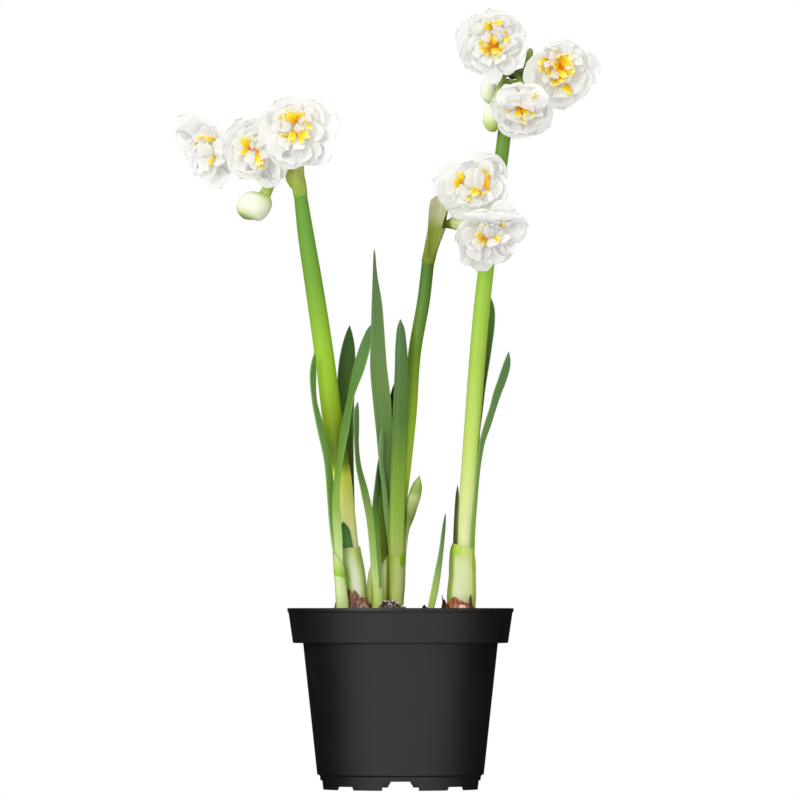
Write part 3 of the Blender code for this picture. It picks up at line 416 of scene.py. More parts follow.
def layers(bm):
    """The three numbers that a growing piece stores at its points."""
    found = []
    for name in ("along", "across", "tone"):
        found.append(bm.verts.layers.float.get(name) or bm.verts.layers.float.new(name))
    return found


def bar(bm, rows, around, steps, section, steady=True, twisted=True, tone=0.0, rounding=None):
    """A capped bar along rows; section(angle, row) gives a point's place across and deep.

    A steady bar keeps its section's first axis to the right, turned by the row's fifth number if
    it is twisted. Another bar carries its section along the bends. Rounding shrinks the last rings,
    and tone picks the streaks, so that no two bars have the same ones.
    """
    along_layer, across_layer, tone_layer = layers(bm)
    placed = bm.verts.layers.int.get("placed") or bm.verts.layers.int.new("placed")
    bmesh.ops.create_cone(bm, cap_ends=True, cap_tris=False, segments=around, radius1=1, radius2=1,
                          depth=1, matrix=Matrix.Translation((0, 0, 0.5)))
    sides = [edge for edge in bm.edges
             if not edge.verts[0][placed] and abs(edge.verts[0].co.z - edge.verts[1].co.z) > 0.5]
    bmesh.ops.subdivide_edges(bm, edges=sides, cuts=steps - 1)
    path = smooth_rows(rows, steps)
    places = [Vector(row[:3]) for row in path]
    ways = [(places[min(i + 1, steps)] - places[max(i - 1, 0)]).normalized() for i in range(steps + 1)]
    side = Vector((1, 0, 0)) if abs(ways[0].x) < 0.8 else Vector((0, 0, 1))
    frames = []
    for way, row in zip(ways, path):
        start = Vector((1, 0, 0)) if steady else side
        side = (start - way * start.dot(way)).normalized()
        normal = side.cross(way)
        turn = math.radians(row[4]) if twisted and len(row) > 4 else 0.0
        frames.append((side * cos(turn) - normal * sin(turn),
                       normal * cos(turn) + side * sin(turn)))
    made = [vert for vert in bm.verts if not vert[placed]]
    for vert in made:
        step = round(vert.co.z * steps)
        angle = math.atan2(vert.co.y, vert.co.x)
        across, deep = section(angle, path[step])
        shrink = (rounding or {}).get(steps - step, 1.0)
        first, second = frames[step]
        spot = places[step] + (first * across + second * deep) * shrink
        vert[along_layer] = step / steps
        vert[across_layer] = cos(angle)
        vert[tone_layer] = tone
        vert[placed] = 1
        vert.co = place(*spot)
    return made


test_rows = smooth_rows([(0, 0, 0), (0, 0, 10), (3, 0, 20)], 4)
print("a curve's middle lies at", [round(float(v), 1) for v in test_rows[2]])

# %% [markdown]
# From a bmesh to a piece
#
# Each finished shape becomes one object. Its faces are turned outwards, shaded smooth except at
# sharp edges, and the plain solids of the frame that it stands for are hidden. Thin things, such as
# petals and flakes of bulb skin, are drawn as single sheets and get their thickness afterwards.

# %% Helpers for pieces
SHARP = math.radians(50)


def piece(bm, name, mat, *nodes, slot=None, sharp=SHARP):
    """Make an object of a finished bmesh, let it ride on the plant and stand for its nodes."""
    bmesh.ops.recalc_face_normals(bm, faces=bm.faces)
    obj = add_mesh(name, bm)
    obj.data.shade_smooth()
    obj.data.set_sharp_from_angle(angle=sharp)
    obj.data.materials.append(mat)
    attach(obj, "root")
    if nodes:
        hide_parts(*nodes)
    return obj


def thin_shell(obj, thickness):
    """Give a piece of single sheets its thickness in millimetres."""
    shell = obj.modifiers.new("thickness", "SOLIDIFY")
    shell.thickness = thickness * MM
    shell.offset = 0


def face_count(obj):
    """Triangles of a piece with its modifiers."""
    made = obj.evaluated_get(bpy.context.evaluated_depsgraph_get()).to_mesh()
    made.calc_loop_triangles()
    return len(made.loop_triangles)


print("edges are sharp from", round(math.degrees(SHARP)), "degrees")

# %% [markdown]
# Leaves
#
# A daffodil leaf is a strap: thick in the middle, thin at the edges, a little hollow on one side,
# and twisted by a quarter turn or so on its way up. Each leaf was measured at a few heights for its
# place, its width and its turn. The bar helper makes a lens-shaped section of them.

# %% Measure the leaves
# Rows are x, y, z and width in millimetres, and the turn in degrees where a leaf turns
LEAVES = {
    "leaf_left_outer": [
        (-34.2, -13.6, 115.6, 4, 0), (-35.5, -13.6, 128.2, 4.2, 10), (-37.7, -13.4, 143.2, 5, 22),
        (-40, -13.4, 166.2, 7, 50), (-42.4, -14, 189.2, 7, 57), (-47, -13.5, 210.4, 7, 57),
        (-49.7, -13, 223.1, 6.2, 64), (-50.5, -12, 239.8, 6.4, 58), (-49.3, -11.5, 250.7, 1.4, 50)],
    "leaf_left_long": [
        (-33.6, -16.4, 115.6, 4, 0), (-34.7, -16.4, 128.2, 4.2, -10), (-35.6, -16.8, 143.2, 5, -12),
        (-36.7, -17.2, 166.2, 6, -42), (-34.3, -15, 189.2, 6.6, -56), (-31.7, -14, 205.8, 7.2, -48),
        (-28.6, -12.5, 223.1, 7.4, -58), (-23, -7.6, 243.8, 8.2, -30), (-19.5, -4.4, 256.4, 7, -32),
        (-17.2, -2.4, 266.5, 2.4, -32)],
    "leaf_left_broad": [
        (-26.7, 5, 120.2, 6.5), (-28.2, 5.3, 136.3, 7.2), (-30.1, 6.6, 157.5, 8), (-31, 7, 178.8, 8.6),
        (-31.6, 7, 203.5, 9.2), (-31.5, 6.9, 223.7, 9.8), (-31, 6.6, 239.8, 10.2),
        (-29.9, 6.2, 256.4, 6.8), (-29.3, 6, 266.8, 1.2)],
    "leaf_left_short": [
        (-28, -9.6, 123.6, 6), (-29.6, -9.7, 134, 6.6), (-31.1, -9.7, 141.4, 7.1),
        (-32.1, -9.6, 148.3, 6.2), (-32.9, -9.5, 153.5, 2.6)],
    "leaf_front": [
        (-13.7, -12, 108.7, 3.8, 0), (-14.3, -12, 117.9, 4.2, 5), (-15.4, -12.4, 131.7, 4.5, 25),
        (-16.4, -12.9, 144.3, 4.7, 28), (-17.6, -13.3, 155.2, 5.1, 32), (-21.1, -14, 171.9, 6, 48),
        (-24.3, -14.5, 185.1, 6, 62), (-25.5, -14.8, 197.8, 6, 67), (-25.6, -14.8, 208.7, 6, 60),
        (-25.5, -14.4, 217, 4.6, 52), (-24.4, -14, 222.5, 1.2, 50)],
    "leaf_front_back": [
        (-12.5, -8.9, 108.7, 3.6, 0), (-12.8, -8.9, 117.9, 3.8, 0), (-13.4, -8, 131.7, 4.6, 15),
        (-14.3, -6.3, 147.8, 5, 30), (-14.8, -5.2, 157.5, 5, 42), (-13.4, -2.6, 174.8, 4.8, 48),
        (-11.4, 0.4, 189.2, 4.2, 45), (-10.1, 1.8, 197.8, 1.2, 40)],
    "leaf_middle_tall": [
        (-2.6, -0.1, 113.3, 5.2), (-2.6, -0.2, 128.2, 5.6), (-3.3, -0.6, 145.5, 7.4),
        (-5.1, -1.8, 166.2, 9), (-7.6, -3, 188, 9.6), (-9.3, -4, 205.8, 9.5), (-10.7, -5, 223.1, 10.4),
        (-12.6, -6.2, 242.6, 9.7), (-13.1, -7.2, 261, 8), (-13.6, -8.2, 279.4, 6),
        (-14.6, -9, 294.4, 2.9), (-15.1, -9.7, 310.5, 0.8)],
    "leaf_middle_blunt": [
        (-2.2, -5, 114.4, 6.8), (-2.2, -5.1, 128.2, 7.6), (-2.2, -5.5, 143.2, 8.7),
        (-1.8, -6.2, 166.2, 9), (-1, -6.8, 189.2, 8.9), (-0.1, -7.2, 214.5, 8.9), (0.5, -7.2, 239.8, 7.8),
        (0.3, -7.2, 256.4, 6.3), (0.1, -7.1, 265.1, 4.1), (-0.1, -7, 270, 1.3)],
    "leaf_middle_narrow": [
        (-5.1, -2.6, 114.4, 2.6, 0), (-5.1, -2.6, 128.2, 2.9, 0), (-6, -2.9, 143.2, 3.2, 0),
        (-7.8, -3.7, 157.5, 3.4, 10), (-9.4, -5.6, 173.1, 3.4, 38), (-11.3, -7.2, 188, 3.4, 45),
        (-11.3, -7.8, 197.8, 3.2, 35), (-10.9, -8.2, 208.1, 0.9, 30)],
    "leaf_middle_dark": [
        (-9, 4.6, 114.4, 3.4), (-8.9, 4.6, 128.2, 3.6), (-8, 5, 154.7, 4.6), (-6.9, 5.2, 177.7, 5.6),
        (-5.2, 5, 200.7, 6.3), (-4.3, 4.8, 219.1, 5.8), (-3.7, 4.6, 227.1, 4), (-3.3, 4.5, 234, 1.1)],
    "leaf_middle_olive": [
        (-10.1, 0.2, 114.4, 3.4), (-10.1, 0.2, 128.2, 4.2), (-10.3, 0.4, 140.3, 5.8),
        (-10.5, 0.9, 154.7, 5.4), (-10.3, 1.4, 167.3, 4.4), (-9.6, 2.2, 180, 3), (-9.1, 2.6, 186.9, 1)],
    "leaf_lone": [
        (16, -9, 96, 4.2, 25), (17.3, -9, 104.4, 4.6, 32), (19, -9, 112.1, 4.8, 28),
        (21.1, -9, 123.6, 4.4, 30), (22.9, -9, 135.1, 3.6, 42), (24.8, -9, 150.6, 2.5, 42),
        (25.8, -9, 158.7, 0.9, 40)],
    "leaf_right_arched": [
        (36.9, 5.6, 115.6, 4.6, 0), (37.7, 5.6, 130.5, 5, 0), (39.4, 5.8, 166.2, 6, -12),
        (42.5, 6, 200.7, 6.6, -25), (44.9, 6.1, 216.8, 7, -40), (47, 6, 231.1, 7, -50),
        (49.4, 5.8, 243.8, 6.5, -55), (51.4, 5.4, 256.4, 6, -55), (52.6, 5, 266.2, 5.8, -52),
        (53.1, 4.6, 274.8, 4.8, -55), (52.2, 4.2, 282.6, 0.9, -50)],
    "leaf_right_side": [
        (41, -1, 115.6, 4.4, 62), (41, -1, 131.7, 4.8, 60), (41.2, -1, 143.2, 5.4, 64),
        (42.8, -1, 166.2, 6.4, 72), (45, -1, 189.2, 7.2, 72), (46.9, -1, 200.7, 7.4, 66),
        (49.9, -1.3, 210.2, 7.4, 57), (52.6, -1.7, 218.7, 7.4, 59), (55.1, -2.1, 227.1, 7.4, 52),
        (58.2, -2.5, 235.5, 7.2, 47), (60.8, -2.9, 244, 6, 45), (62.3, -3.2, 251.6, 1.1, 45)],
    "leaf_right_short": [
        (31.6, -0.6, 115.6, 4.4, -60), (31.6, -0.6, 131.7, 4.6, -60), (31.8, -0.6, 145.5, 5.2, -66),
        (32.1, -0.4, 154.7, 5, -68), (32.7, -0.1, 166.2, 4, -64), (32.9, 0.2, 174.8, 1.1, -58)],
}
LEAF_THICKNESS = 1.5
# How deep a leaf's channel is; a minus opens it to the other side
LEAF_HOLLOW = 0.5
HOLLOWS = {
    "leaf_left_short": -1.5, "leaf_left_broad": 0.8, "leaf_middle_blunt": -0.9, "leaf_middle_tall": 0.7,
}
LEAF_STEP = 2
LEAF_TONE_STEP = 0.37
# Share of its size that the last ring keeps, and the one before it
TIP_ROUNDING = {0: 0.25, 1: 0.8}
print("leaves", len(LEAVES))

# %% [markdown]
# The leaves aren't one green. Those in front are a light blue-green with a waxy bloom, those behind
# and the inner sides are given dark greens as painted shade, and at the foot, where the sheath kept
# the light off, they fade to lime. The colours were read off the photo, from the foot to the tip.

# %% Colour the leaves
# Greens from foot to tip; the dark greens of leaves behind and of inner sides are painted shade
LEAF_GREENS_AND_SHADE = {
    "leaf_left_outer": ((194, 220, 142), (127, 169, 75), (116, 164, 78), (98, 140, 72)),
    "leaf_left_long": ((206, 232, 148), (136, 168, 68), (90, 132, 54), (78, 116, 56)),
    "leaf_left_broad": ((118, 137, 56), (48, 78, 14), (84, 108, 48), (50, 82, 34)),
    "leaf_left_short": ((152, 185, 97), (84, 128, 66), (96, 142, 72), (72, 110, 48)),
    "leaf_front": ((200, 226, 136), (152, 190, 82), (101, 134, 62), (96, 130, 78)),
    "leaf_front_back": ((165, 200, 102), (124, 162, 62), (86, 124, 54), (66, 102, 52)),
    "leaf_middle_tall": ((146, 165, 78), (80, 108, 38), (98, 130, 64), (74, 104, 60)),
    "leaf_middle_blunt": ((175, 192, 98), (132, 168, 48), (74, 114, 34), (76, 108, 64)),
    "leaf_middle_narrow": ((147, 177, 88), (118, 156, 66), (110, 148, 80), (118, 150, 92)),
    "leaf_middle_dark": ((91, 117, 34), (46, 62, 8), (34, 60, 12), (30, 54, 16)),
    "leaf_middle_olive": ((165, 192, 80), (104, 116, 20), (116, 150, 46), (112, 148, 56)),
    "leaf_lone": ((205, 232, 126), (200, 230, 118), (128, 172, 98), (74, 112, 60)),
    "leaf_right_arched": ((154, 189, 91), (68, 106, 42), (56, 96, 32), (118, 158, 92)),
    "leaf_right_side": ((142, 182, 62), (146, 190, 74), (114, 154, 82), (92, 130, 74)),
    "leaf_right_short": ((104, 123, 59), (74, 94, 42), (80, 102, 34), (48, 66, 16)),
}
WITHERED_TIP = (112, 84, 60)
# Inner sides and leaves at the back, which reflect little
SHADED_LEAVES = (
    "leaf_middle_dark", "leaf_middle_olive", "leaf_left_broad", "leaf_right_short", "leaf_left_short")
SHADED_GLOSS = 0.1
LEAF_GLOSS = 0.28
PALER_EDGE = 34


def leaf_finish(name, greens_and_shade):
    """Greens, some dark as painted shade, from foot to tip with a paler edge; the lone leaf's tip has
    withered.
    """
    foot, low, high, tip = greens_and_shade
    stops = [(0.0, foot), (0.08, foot), (0.30, low), (0.62, high), (1.0, tip)]
    if name == "leaf_lone":
        stops = [(0.0, foot), (0.2, low), (0.55, high), (0.95, tip), (0.975, WITHERED_TIP)]
    pale_edge = srgb(*(min(255, value + PALER_EDGE) for value in high))
    gloss = SHADED_GLOSS if name in SHADED_LEAVES else LEAF_GLOSS
    return grown_finish(name + "_green", stops, specular=gloss, edge=pale_edge)


def leaf_section(hollow):
    """Give the section of a leaf: a lens that is bent into a shallow channel."""
    def section(angle, row):
        """A point of the lens, where the fourth number of a row is the leaf's width."""
        half = row[3] / 2
        across = half * cos(angle)
        thick = LEAF_THICKNESS / 2 * min(1.0, 0.25 + half / 2.5)
        deep = sin(angle) * thick + hollow * min(1.0, half / 3.5) * cos(angle) ** 2
        return across, deep
    return section


for count, (name, rows) in enumerate(LEAVES.items()):
    bm = bmesh.new()
    length = sum(math.dist(low[:3], high[:3]) for low, high in zip(rows, rows[1:]))
    bar(bm, rows, around=20, steps=round(length / LEAF_STEP),
        section=leaf_section(HOLLOWS.get(name, LEAF_HOLLOW)), tone=LEAF_TONE_STEP * count,
        rounding=TIP_ROUNDING)
    piece(bm, name + "_strap", leaf_finish(name, LEAF_GREENS_AND_SHADE[name]), name)
print("leaf straps made", len(LEAVES))

# %% [markdown]
# Flower stems
#
# A flower stem is a hollow tube, oval in section with two faint ridges. It is hidden at both ends,
# so a closed bar does for it. Its colour tells its age: almost white in the sheath, yellow-green
# half way up and a full green below the flowers. On the left stem the pale foot is painted lighter
# still against the leaves' shade, and a dark olive band is a painted shadow of a leaf in front.

# %% Measure and colour the stems
# Rows are x, y, z and radius in millimetres
STEMS = {
    "stem_left": [
        (-26.2, -2, 117.3, 4.9), (-27.9, -2, 128.8, 5.4), (-30.1, -2, 140.3, 5.8),
        (-31.6, -2, 154.7, 5.85), (-34.3, -2, 180, 5.8), (-37.9, -2, 203.5, 5.7),
        (-44, -1.6, 250.7, 5.45), (-49.7, -1.2, 289.2, 5.1), (-54.8, -0.9, 321.4, 4.5),
        (-57.4, -0.8, 340.7, 3.75)],
    "stem_middle": [
        (-1.7, 4.6, 114.4, 3.1), (-1.7, 4.6, 128.2, 3.3), (-0.9, 4.7, 154.7, 3.6), (2.7, 4.6, 189.2, 3.8),
        (5.3, 4.4, 214.5, 3.8), (8.3, 4.2, 252.4, 3.6), (13.4, 4, 281.8, 3.6), (15.8, 4, 302.4, 3.5)],
    "stem_right": [
        (36.1, -1, 115.6, 3.5), (36.2, -1, 131.7, 3.7), (36.5, -1, 143.2, 4), (38.9, -1, 174.2, 4.7),
        (40, -1, 189.2, 4.65), (41.6, -1, 212.2, 4.65), (48.5, -0.6, 292.7, 4.5), (53.5, -0.4, 330, 4.2),
        (58, -0.2, 362.8, 3.9), (60.9, 0, 385.8, 3.8), (62.3, 0, 396.7, 3.7)],
    "young_bud": [
        (1.4, -1.4, 114.4, 1.05), (1.7, -1.5, 128.2, 1.15), (2.4, -1.7, 140.3, 1.25),
        (3.7, -1.9, 150.1, 1.5), (5.5, -2, 157.5, 2.5), (6.6, -2.1, 163.9, 3.2), (8.1, -2.2, 168.5, 3.2),
        (9.4, -2.3, 173.6, 2.75), (10.3, -2.4, 177.7, 1.6), (11, -2.5, 180.4, 0.4)],
}
STEM_GREENS_AND_SHADE = {
    # Left stem: its pale foot is painted lighter still against shade, and the dark olive band from 0.31 to
    # 0.44 is a painted shadow of a leaf in front
    "stem_left": [
        (0, (250, 246, 190)), (0.14, (255, 255, 172)), (0.28, (236, 244, 88)), (0.31, (124, 150, 26)),
        (0.35, (96, 122, 6)), (0.39, (110, 138, 4)), (0.44, (136, 166, 14)), (0.51, (150, 188, 36)),
        (0.6, (150, 192, 42)), (0.78, (116, 164, 48)), (1, (102, 154, 50))],
    "stem_middle": [
        (0, (218, 228, 139)), (0.2, (186, 206, 64)), (0.5, (156, 194, 40)), (0.72, (104, 138, 28)),
        (0.88, (86, 128, 36)), (1, (76, 114, 34))],
    "stem_right": [
        (0, (241, 250, 190)), (0.14, (218, 226, 158)), (0.28, (192, 214, 106)), (0.45, (167, 200, 76)),
        (0.64, (154, 196, 62)), (0.88, (112, 150, 50)), (1, (98, 138, 46))],
    "young_bud": [
        (0, (214, 230, 140)), (0.45, (160, 182, 96)), (0.62, (116, 138, 50)), (0.8, (178, 196, 128)),
        (0.86, (138, 166, 68)), (0.95, (156, 172, 94)), (1, (150, 140, 88))],
}
STEM_STEP = 2.5
STEM_TONE_STEP = 0.61


def stem_section(angle, row):
    """Nearly round, with two faint ridges."""
    ridge = 1 + 0.025 * cos(2 * angle - 0.8)
    return oval_point(angle, row[3], row[3], ridge)


def bud_section(angle, row):
    """A slim bud in its sheath: flattened, with a keel down each side."""
    keel = 1 + 0.10 * cos(2 * angle) + 0.03 * cos(6 * angle)
    return oval_point(angle, row[3], row[3] * 0.92, keel)


for count, (name, rows) in enumerate(STEMS.items()):
    young = name == "young_bud"
    green = grown_finish(name + "_green", STEM_GREENS_AND_SHADE[name], streak=0.12 if young else 0.07, fine=9.0,
                         roughness=0.36, specular=0.3, through=0.4)
    bm = bmesh.new()
    height = rows[-1][2] - rows[0][2]
    bar(bm, rows, around=28 if young else 40, steps=round(height / STEM_STEP),
        section=bud_section if young else stem_section, tone=STEM_TONE_STEP * count,
        rounding=TIP_ROUNDING if young else None)
    piece(bm, name + "_stalk", green, name)
print("stalks made", len(STEMS))

# %% [markdown]
# Sheaths
#
# The foot of each shoot stands in a pale sheath: old leaf bases wrapped into a tube, cut off by
# nature in a slanting lip. Each was measured at a few heights, like the stems, but with a depth of
# its own, because several leaves stand in it one behind the other.

# %% Measure the sheaths
# Rows are x, y, z, half width and half depth in millimetres
SHEATHS = {
    "sheath_left_stem": [
        (-24.7, -2, 101.8, 5.5, 9.2), (-25.2, -2, 111.5, 6.1, 9.8), (-27.1, -2, 124.8, 6.7, 10.2),
        (-29.2, -2, 135.1, 6.9, 10.3), (-29.8, -2, 139.1, 6.8, 10.1)],
    "sheath_left_leaves": [
        (-32.8, -14.6, 98.3, 3.4, 3.8), (-33.3, -14.8, 106.4, 3.7, 4.2), (-34.6, -15, 120.2, 3.3, 4.2),
        (-35, -15, 124.8, 3.4, 4.3), (-35.4, -15, 131.7, 3.5, 4.2)],
    "sheath_front": [
        (-12.9, -10.4, 96, 3.4, 4.2), (-12.9, -10.4, 105.2, 3.8, 4.6), (-13.4, -10.4, 113.3, 3.4, 4.5),
        (-13.7, -10.4, 117.9, 3.1, 4.2)],
    "sheath_middle": [
        (-2.8, 0.6, 89.7, 4.1, 8.2), (-2.6, 0.6, 107.5, 4.5, 8.8), (-2, 0.6, 120.2, 4.75, 9.1),
        (-2, 0.6, 131.7, 4.8, 9.1), (-2, 0.6, 135.7, 4.6, 8.8)],
    "sheath_middle_side": [
        (-9.2, 1.4, 89.7, 2.7, 5.6), (-9.4, 1.4, 107.5, 3.1, 6), (-9.4, 1.4, 120.2, 3.2, 6.2),
        (-9.4, 1.4, 132, 3, 6)],
    "sheath_right": [
        (35.1, -1, 99.5, 7.6, 8.8), (35.1, -1, 110.4, 8.4, 9.4), (35.6, -1, 123, 7.8, 9.6),
        (35.6, -1, 131.7, 7.6, 9.5), (35.7, -1, 136.8, 7, 9.3), (36.1, -1, 139.9, 5.9, 8.6)],
}
# How far the lip stands higher on one side (mm), and towards which side (degrees, 0 is right)
SHEATH_SLANTS = {
    "sheath_left_stem": (1.6, 150), "sheath_left_leaves": (5.2, 185), "sheath_front": (2.6, 150),
    "sheath_middle": (1.6, 30), "sheath_middle_side": (7, 5), "sheath_right": (1.2, 170),
}
print("sheaths", len(SHEATHS))

# %% [markdown]
# A sheath grew in the dark, so it is nearly white, with a lime lip where it came into the light. One
# ramp colours it from foot to lip, and a second one paints shade on its two sides, which the front
# light leaves greener. Patches with a wandering edge stand for the spots where a green leaf
# shines through.

# %% Colour the sheaths
SHEATH_STOPS = {
    "sheath_left_stem": [
        (0, (200, 204, 146)), (0.2, (246, 249, 226)), (0.62, (227, 237, 196)), (0.86, (204, 221, 162)),
        (0.94, (200, 216, 130)), (1, (214, 228, 140))],
    "sheath_left_leaves": [
        (0, (196, 214, 140)), (0.45, (222, 238, 178)), (0.7, (212, 230, 160)), (0.73, (150, 200, 50)),
        (0.84, (176, 212, 96)), (1, (208, 228, 150))],
    "sheath_front": [
        (0, (197, 210, 144)), (0.5, (194, 214, 130)), (0.9, (204, 228, 150)), (1, (222, 232, 160))],
    "sheath_middle": [
        (0, (182, 193, 124)), (0.45, (198, 209, 132)), (0.8, (184, 202, 134)), (0.88, (182, 202, 118)),
        (1, (160, 188, 62))],
    "sheath_middle_side": [
        (0, (196, 204, 130)), (0.5, (214, 222, 150)), (0.9, (232, 240, 196)), (1, (214, 218, 140))],
    "sheath_right": [
        (0, (216, 221, 153)), (0.3, (232, 240, 194)), (0.72, (218, 230, 174)), (0.86, (206, 219, 146)),
        (0.92, (200, 216, 128)), (1, (190, 206, 110))],
}
# Painted shade from the left side of a sheath, 0, to its right side, 1, which darkens the colours above;
# the green strip near the right sheath's right edge is its own colour
SHEATH_SIDE_SHADE = {
    "sheath_left_stem": [
        (0, (216, 228, 168)), (0.22, (238, 244, 214)), (0.36, (255, 255, 255)), (0.66, (255, 255, 255)),
        (0.78, (236, 244, 190)), (1, (226, 236, 160))],
    "sheath_left_leaves": [
        (0, (220, 232, 180)), (0.2, (255, 255, 255)), (0.8, (255, 255, 250)), (1, (216, 228, 160))],
    "sheath_front": [
        (0, (170, 178, 90)), (0.25, (226, 238, 160)), (0.5, (255, 255, 255)), (1, (222, 236, 180))],
    "sheath_middle": [
        (0, (238, 240, 180)), (0.4, (240, 244, 204)), (0.6, (255, 255, 255)), (0.8, (255, 255, 255)),
        (1, (214, 226, 190))],
    "sheath_middle_side": [
        (0, (226, 232, 180)), (0.3, (255, 255, 255)), (0.58, (250, 252, 230)), (0.7, (190, 200, 100)),
        (1, (170, 182, 80))],
    "sheath_right": [
        (0, (170, 186, 110)), (0.15, (176, 190, 110)), (0.23, (250, 252, 240)), (0.6, (255, 255, 255)),
        (0.82, (248, 251, 206)), (0.9, (184, 206, 92)), (0.95, (246, 252, 196)), (1, (226, 240, 166))],
}
# Lime patches on the outside: along and across at the middle, how far they reach, and the colour
SHEATH_PATCHES = {
    "sheath_middle": [(0.93, 0.62, 0.11, 0.42, (128, 178, 20))],
    "sheath_right": [(0.95, -0.4, 0.11, 0.42, (168, 198, 40)), (0.74, 0.78, 0.1, 0.16, (168, 196, 60))],
    "sheath_left_stem": [(0.55, -0.7, 0.3, 0.34, (176, 208, 96))],
}


def sheath_finish(name):
    """The colour along the sheath, with painted shade towards its sides, its lime patches and streaks."""
    mat, tree, shader = finish(name + "_skin", 0.38, 0.4)
    along, across = stored(tree, "along"), stored(tree, "across")
    colour = ramp(tree, along, SHEATH_STOPS[name])
    shade = ramp(tree, remap(tree, across, -1.0, 1.0, 0.0, 1.0), SHEATH_SIDE_SHADE[name])
    colour = blend(tree, 1.0, colour, shade, "MULTIPLY")
    wander = remap(tree, grown_streaks(tree, fine=5.0, long=4.0), *NOISE_SPAN, -0.35, 0.35)
    for at, side, high, wide, tint in SHEATH_PATCHES.get(name, []):
        up = sums(tree, "MULTIPLY", sums(tree, "SUBTRACT", along, at), 1 / high)
        over = sums(tree, "MULTIPLY", sums(tree, "SUBTRACT", across, side), 1 / wide)
        far = sums(tree, "ADD", sums(tree, "MULTIPLY", up, up), sums(tree, "MULTIPLY", over, over))
        cover = remap(tree, sums(tree, "ADD", far, wander), 0.5, 1.1, 0.9, 0.0)
        colour = blend(tree, cover, colour, srgb(*tint))
    streaks = remap(tree, grown_streaks(tree, fine=10.0), *NOISE_SPAN, 0.93, 1.06)
    tree.links.new(blend(tree, 1.0, colour, streaks, "MULTIPLY"), shader.inputs["Base Color"])
    let_light_through(shader, 0.7, 0.005)
    relief(tree, shader, grown_streaks(tree, fine=26.0, long=2.0), distance=0.0002, strength=0.5)
    return mat


print("lime patches", sum(len(patches) for patches in SHEATH_PATCHES.values()))

# %% [markdown]
# A bar gives the outside of a sheath, and its top ring is pushed up and down for an uneven lip. The
# top face is then inset and pushed down, so that the sheath has a rim of its own and the leaves
# come out of a hollow. A dry scale, the rest of an older leaf, stands beside the front sheath.

# %% Roll the sheaths
LIP_THICKNESS = 0.7
LIP_DEPTH = 3.5
# The lip isn't even: how high its slow and its quick waves are
LIP_WAVES = 0.4
LIP_RIPPLES = 0.2


def squarish(angle, power):
    """How far a rounded square reaches out at an angle, for a circle of one."""
    return (abs(cos(angle)) ** power + abs(sin(angle)) ** power) ** (-1 / power)


def sheath_section(angle, row):
    """A rounded square with a few shallow dents."""
    reach = squarish(angle, 2.5) * (1 + 0.012 * sin(5 * angle + row[2] * 0.05))
    return oval_point(angle, row[3], row[4], reach)


# The dry scale's rows are x, y, z and width
DRY_SCALE = [
    (-17.2, -8.4, 103, 3), (-17.6, -8.6, 111, 3.4), (-17.9, -8.8, 119, 2.6), (-17.2, -8.8, 126, 1.6),
    (-16.4, -8.8, 129.4, 0.5)]


def scale_section(angle, row):
    """A thin strip with a hollow front."""
    half = row[3] / 2
    return half * cos(angle), 0.25 * sin(angle) + 0.6 * cos(angle) ** 2


for count, (name, rows) in enumerate(SHEATHS.items()):
    bm = bmesh.new()
    made = bar(bm, rows, around=40, steps=26, section=sheath_section, twisted=False)
    rise, towards = SHEATH_SLANTS[name]
    along_layer = bm.verts.layers.float["along"]
    centre = place(*rows[-1][:3])
    for vert in made:
        angle = math.atan2(vert.co.y - centre.y, vert.co.x - centre.x)
        share = vert[along_layer] ** 4
        vert.co.z += share * MM * (rise * cos(angle - math.radians(towards))
                                   + LIP_WAVES * sin(3 * angle + count)
                                   + LIP_RIPPLES * sin(8 * angle))
    bmesh.ops.recalc_face_normals(bm, faces=bm.faces)
    top = max(bm.faces, key=lambda face: (len(face.verts) > 4, face.calc_center_median().z))
    bmesh.ops.inset_region(bm, faces=[top], thickness=LIP_THICKNESS * MM)
    for vert in top.verts:
        vert.co.z -= LIP_DEPTH * MM
    if name == "sheath_front":
        bar(bm, DRY_SCALE, around=16, steps=24, section=scale_section, tone=0.4)
    piece(bm, name + "_tube", sheath_finish(name), name)
print("sheaths rolled", len(SHEATHS))

# %% [markdown]
# The pot
#
# A nursery pot is blown or moulded from thin black plastic. Its outline is one profile: a foot
# ring, a step, a wall that widens upwards, a ledge, and a taller band with a rolled lip. The lip's
# radius and height come from the frame, and the other sizes were measured in the photo.

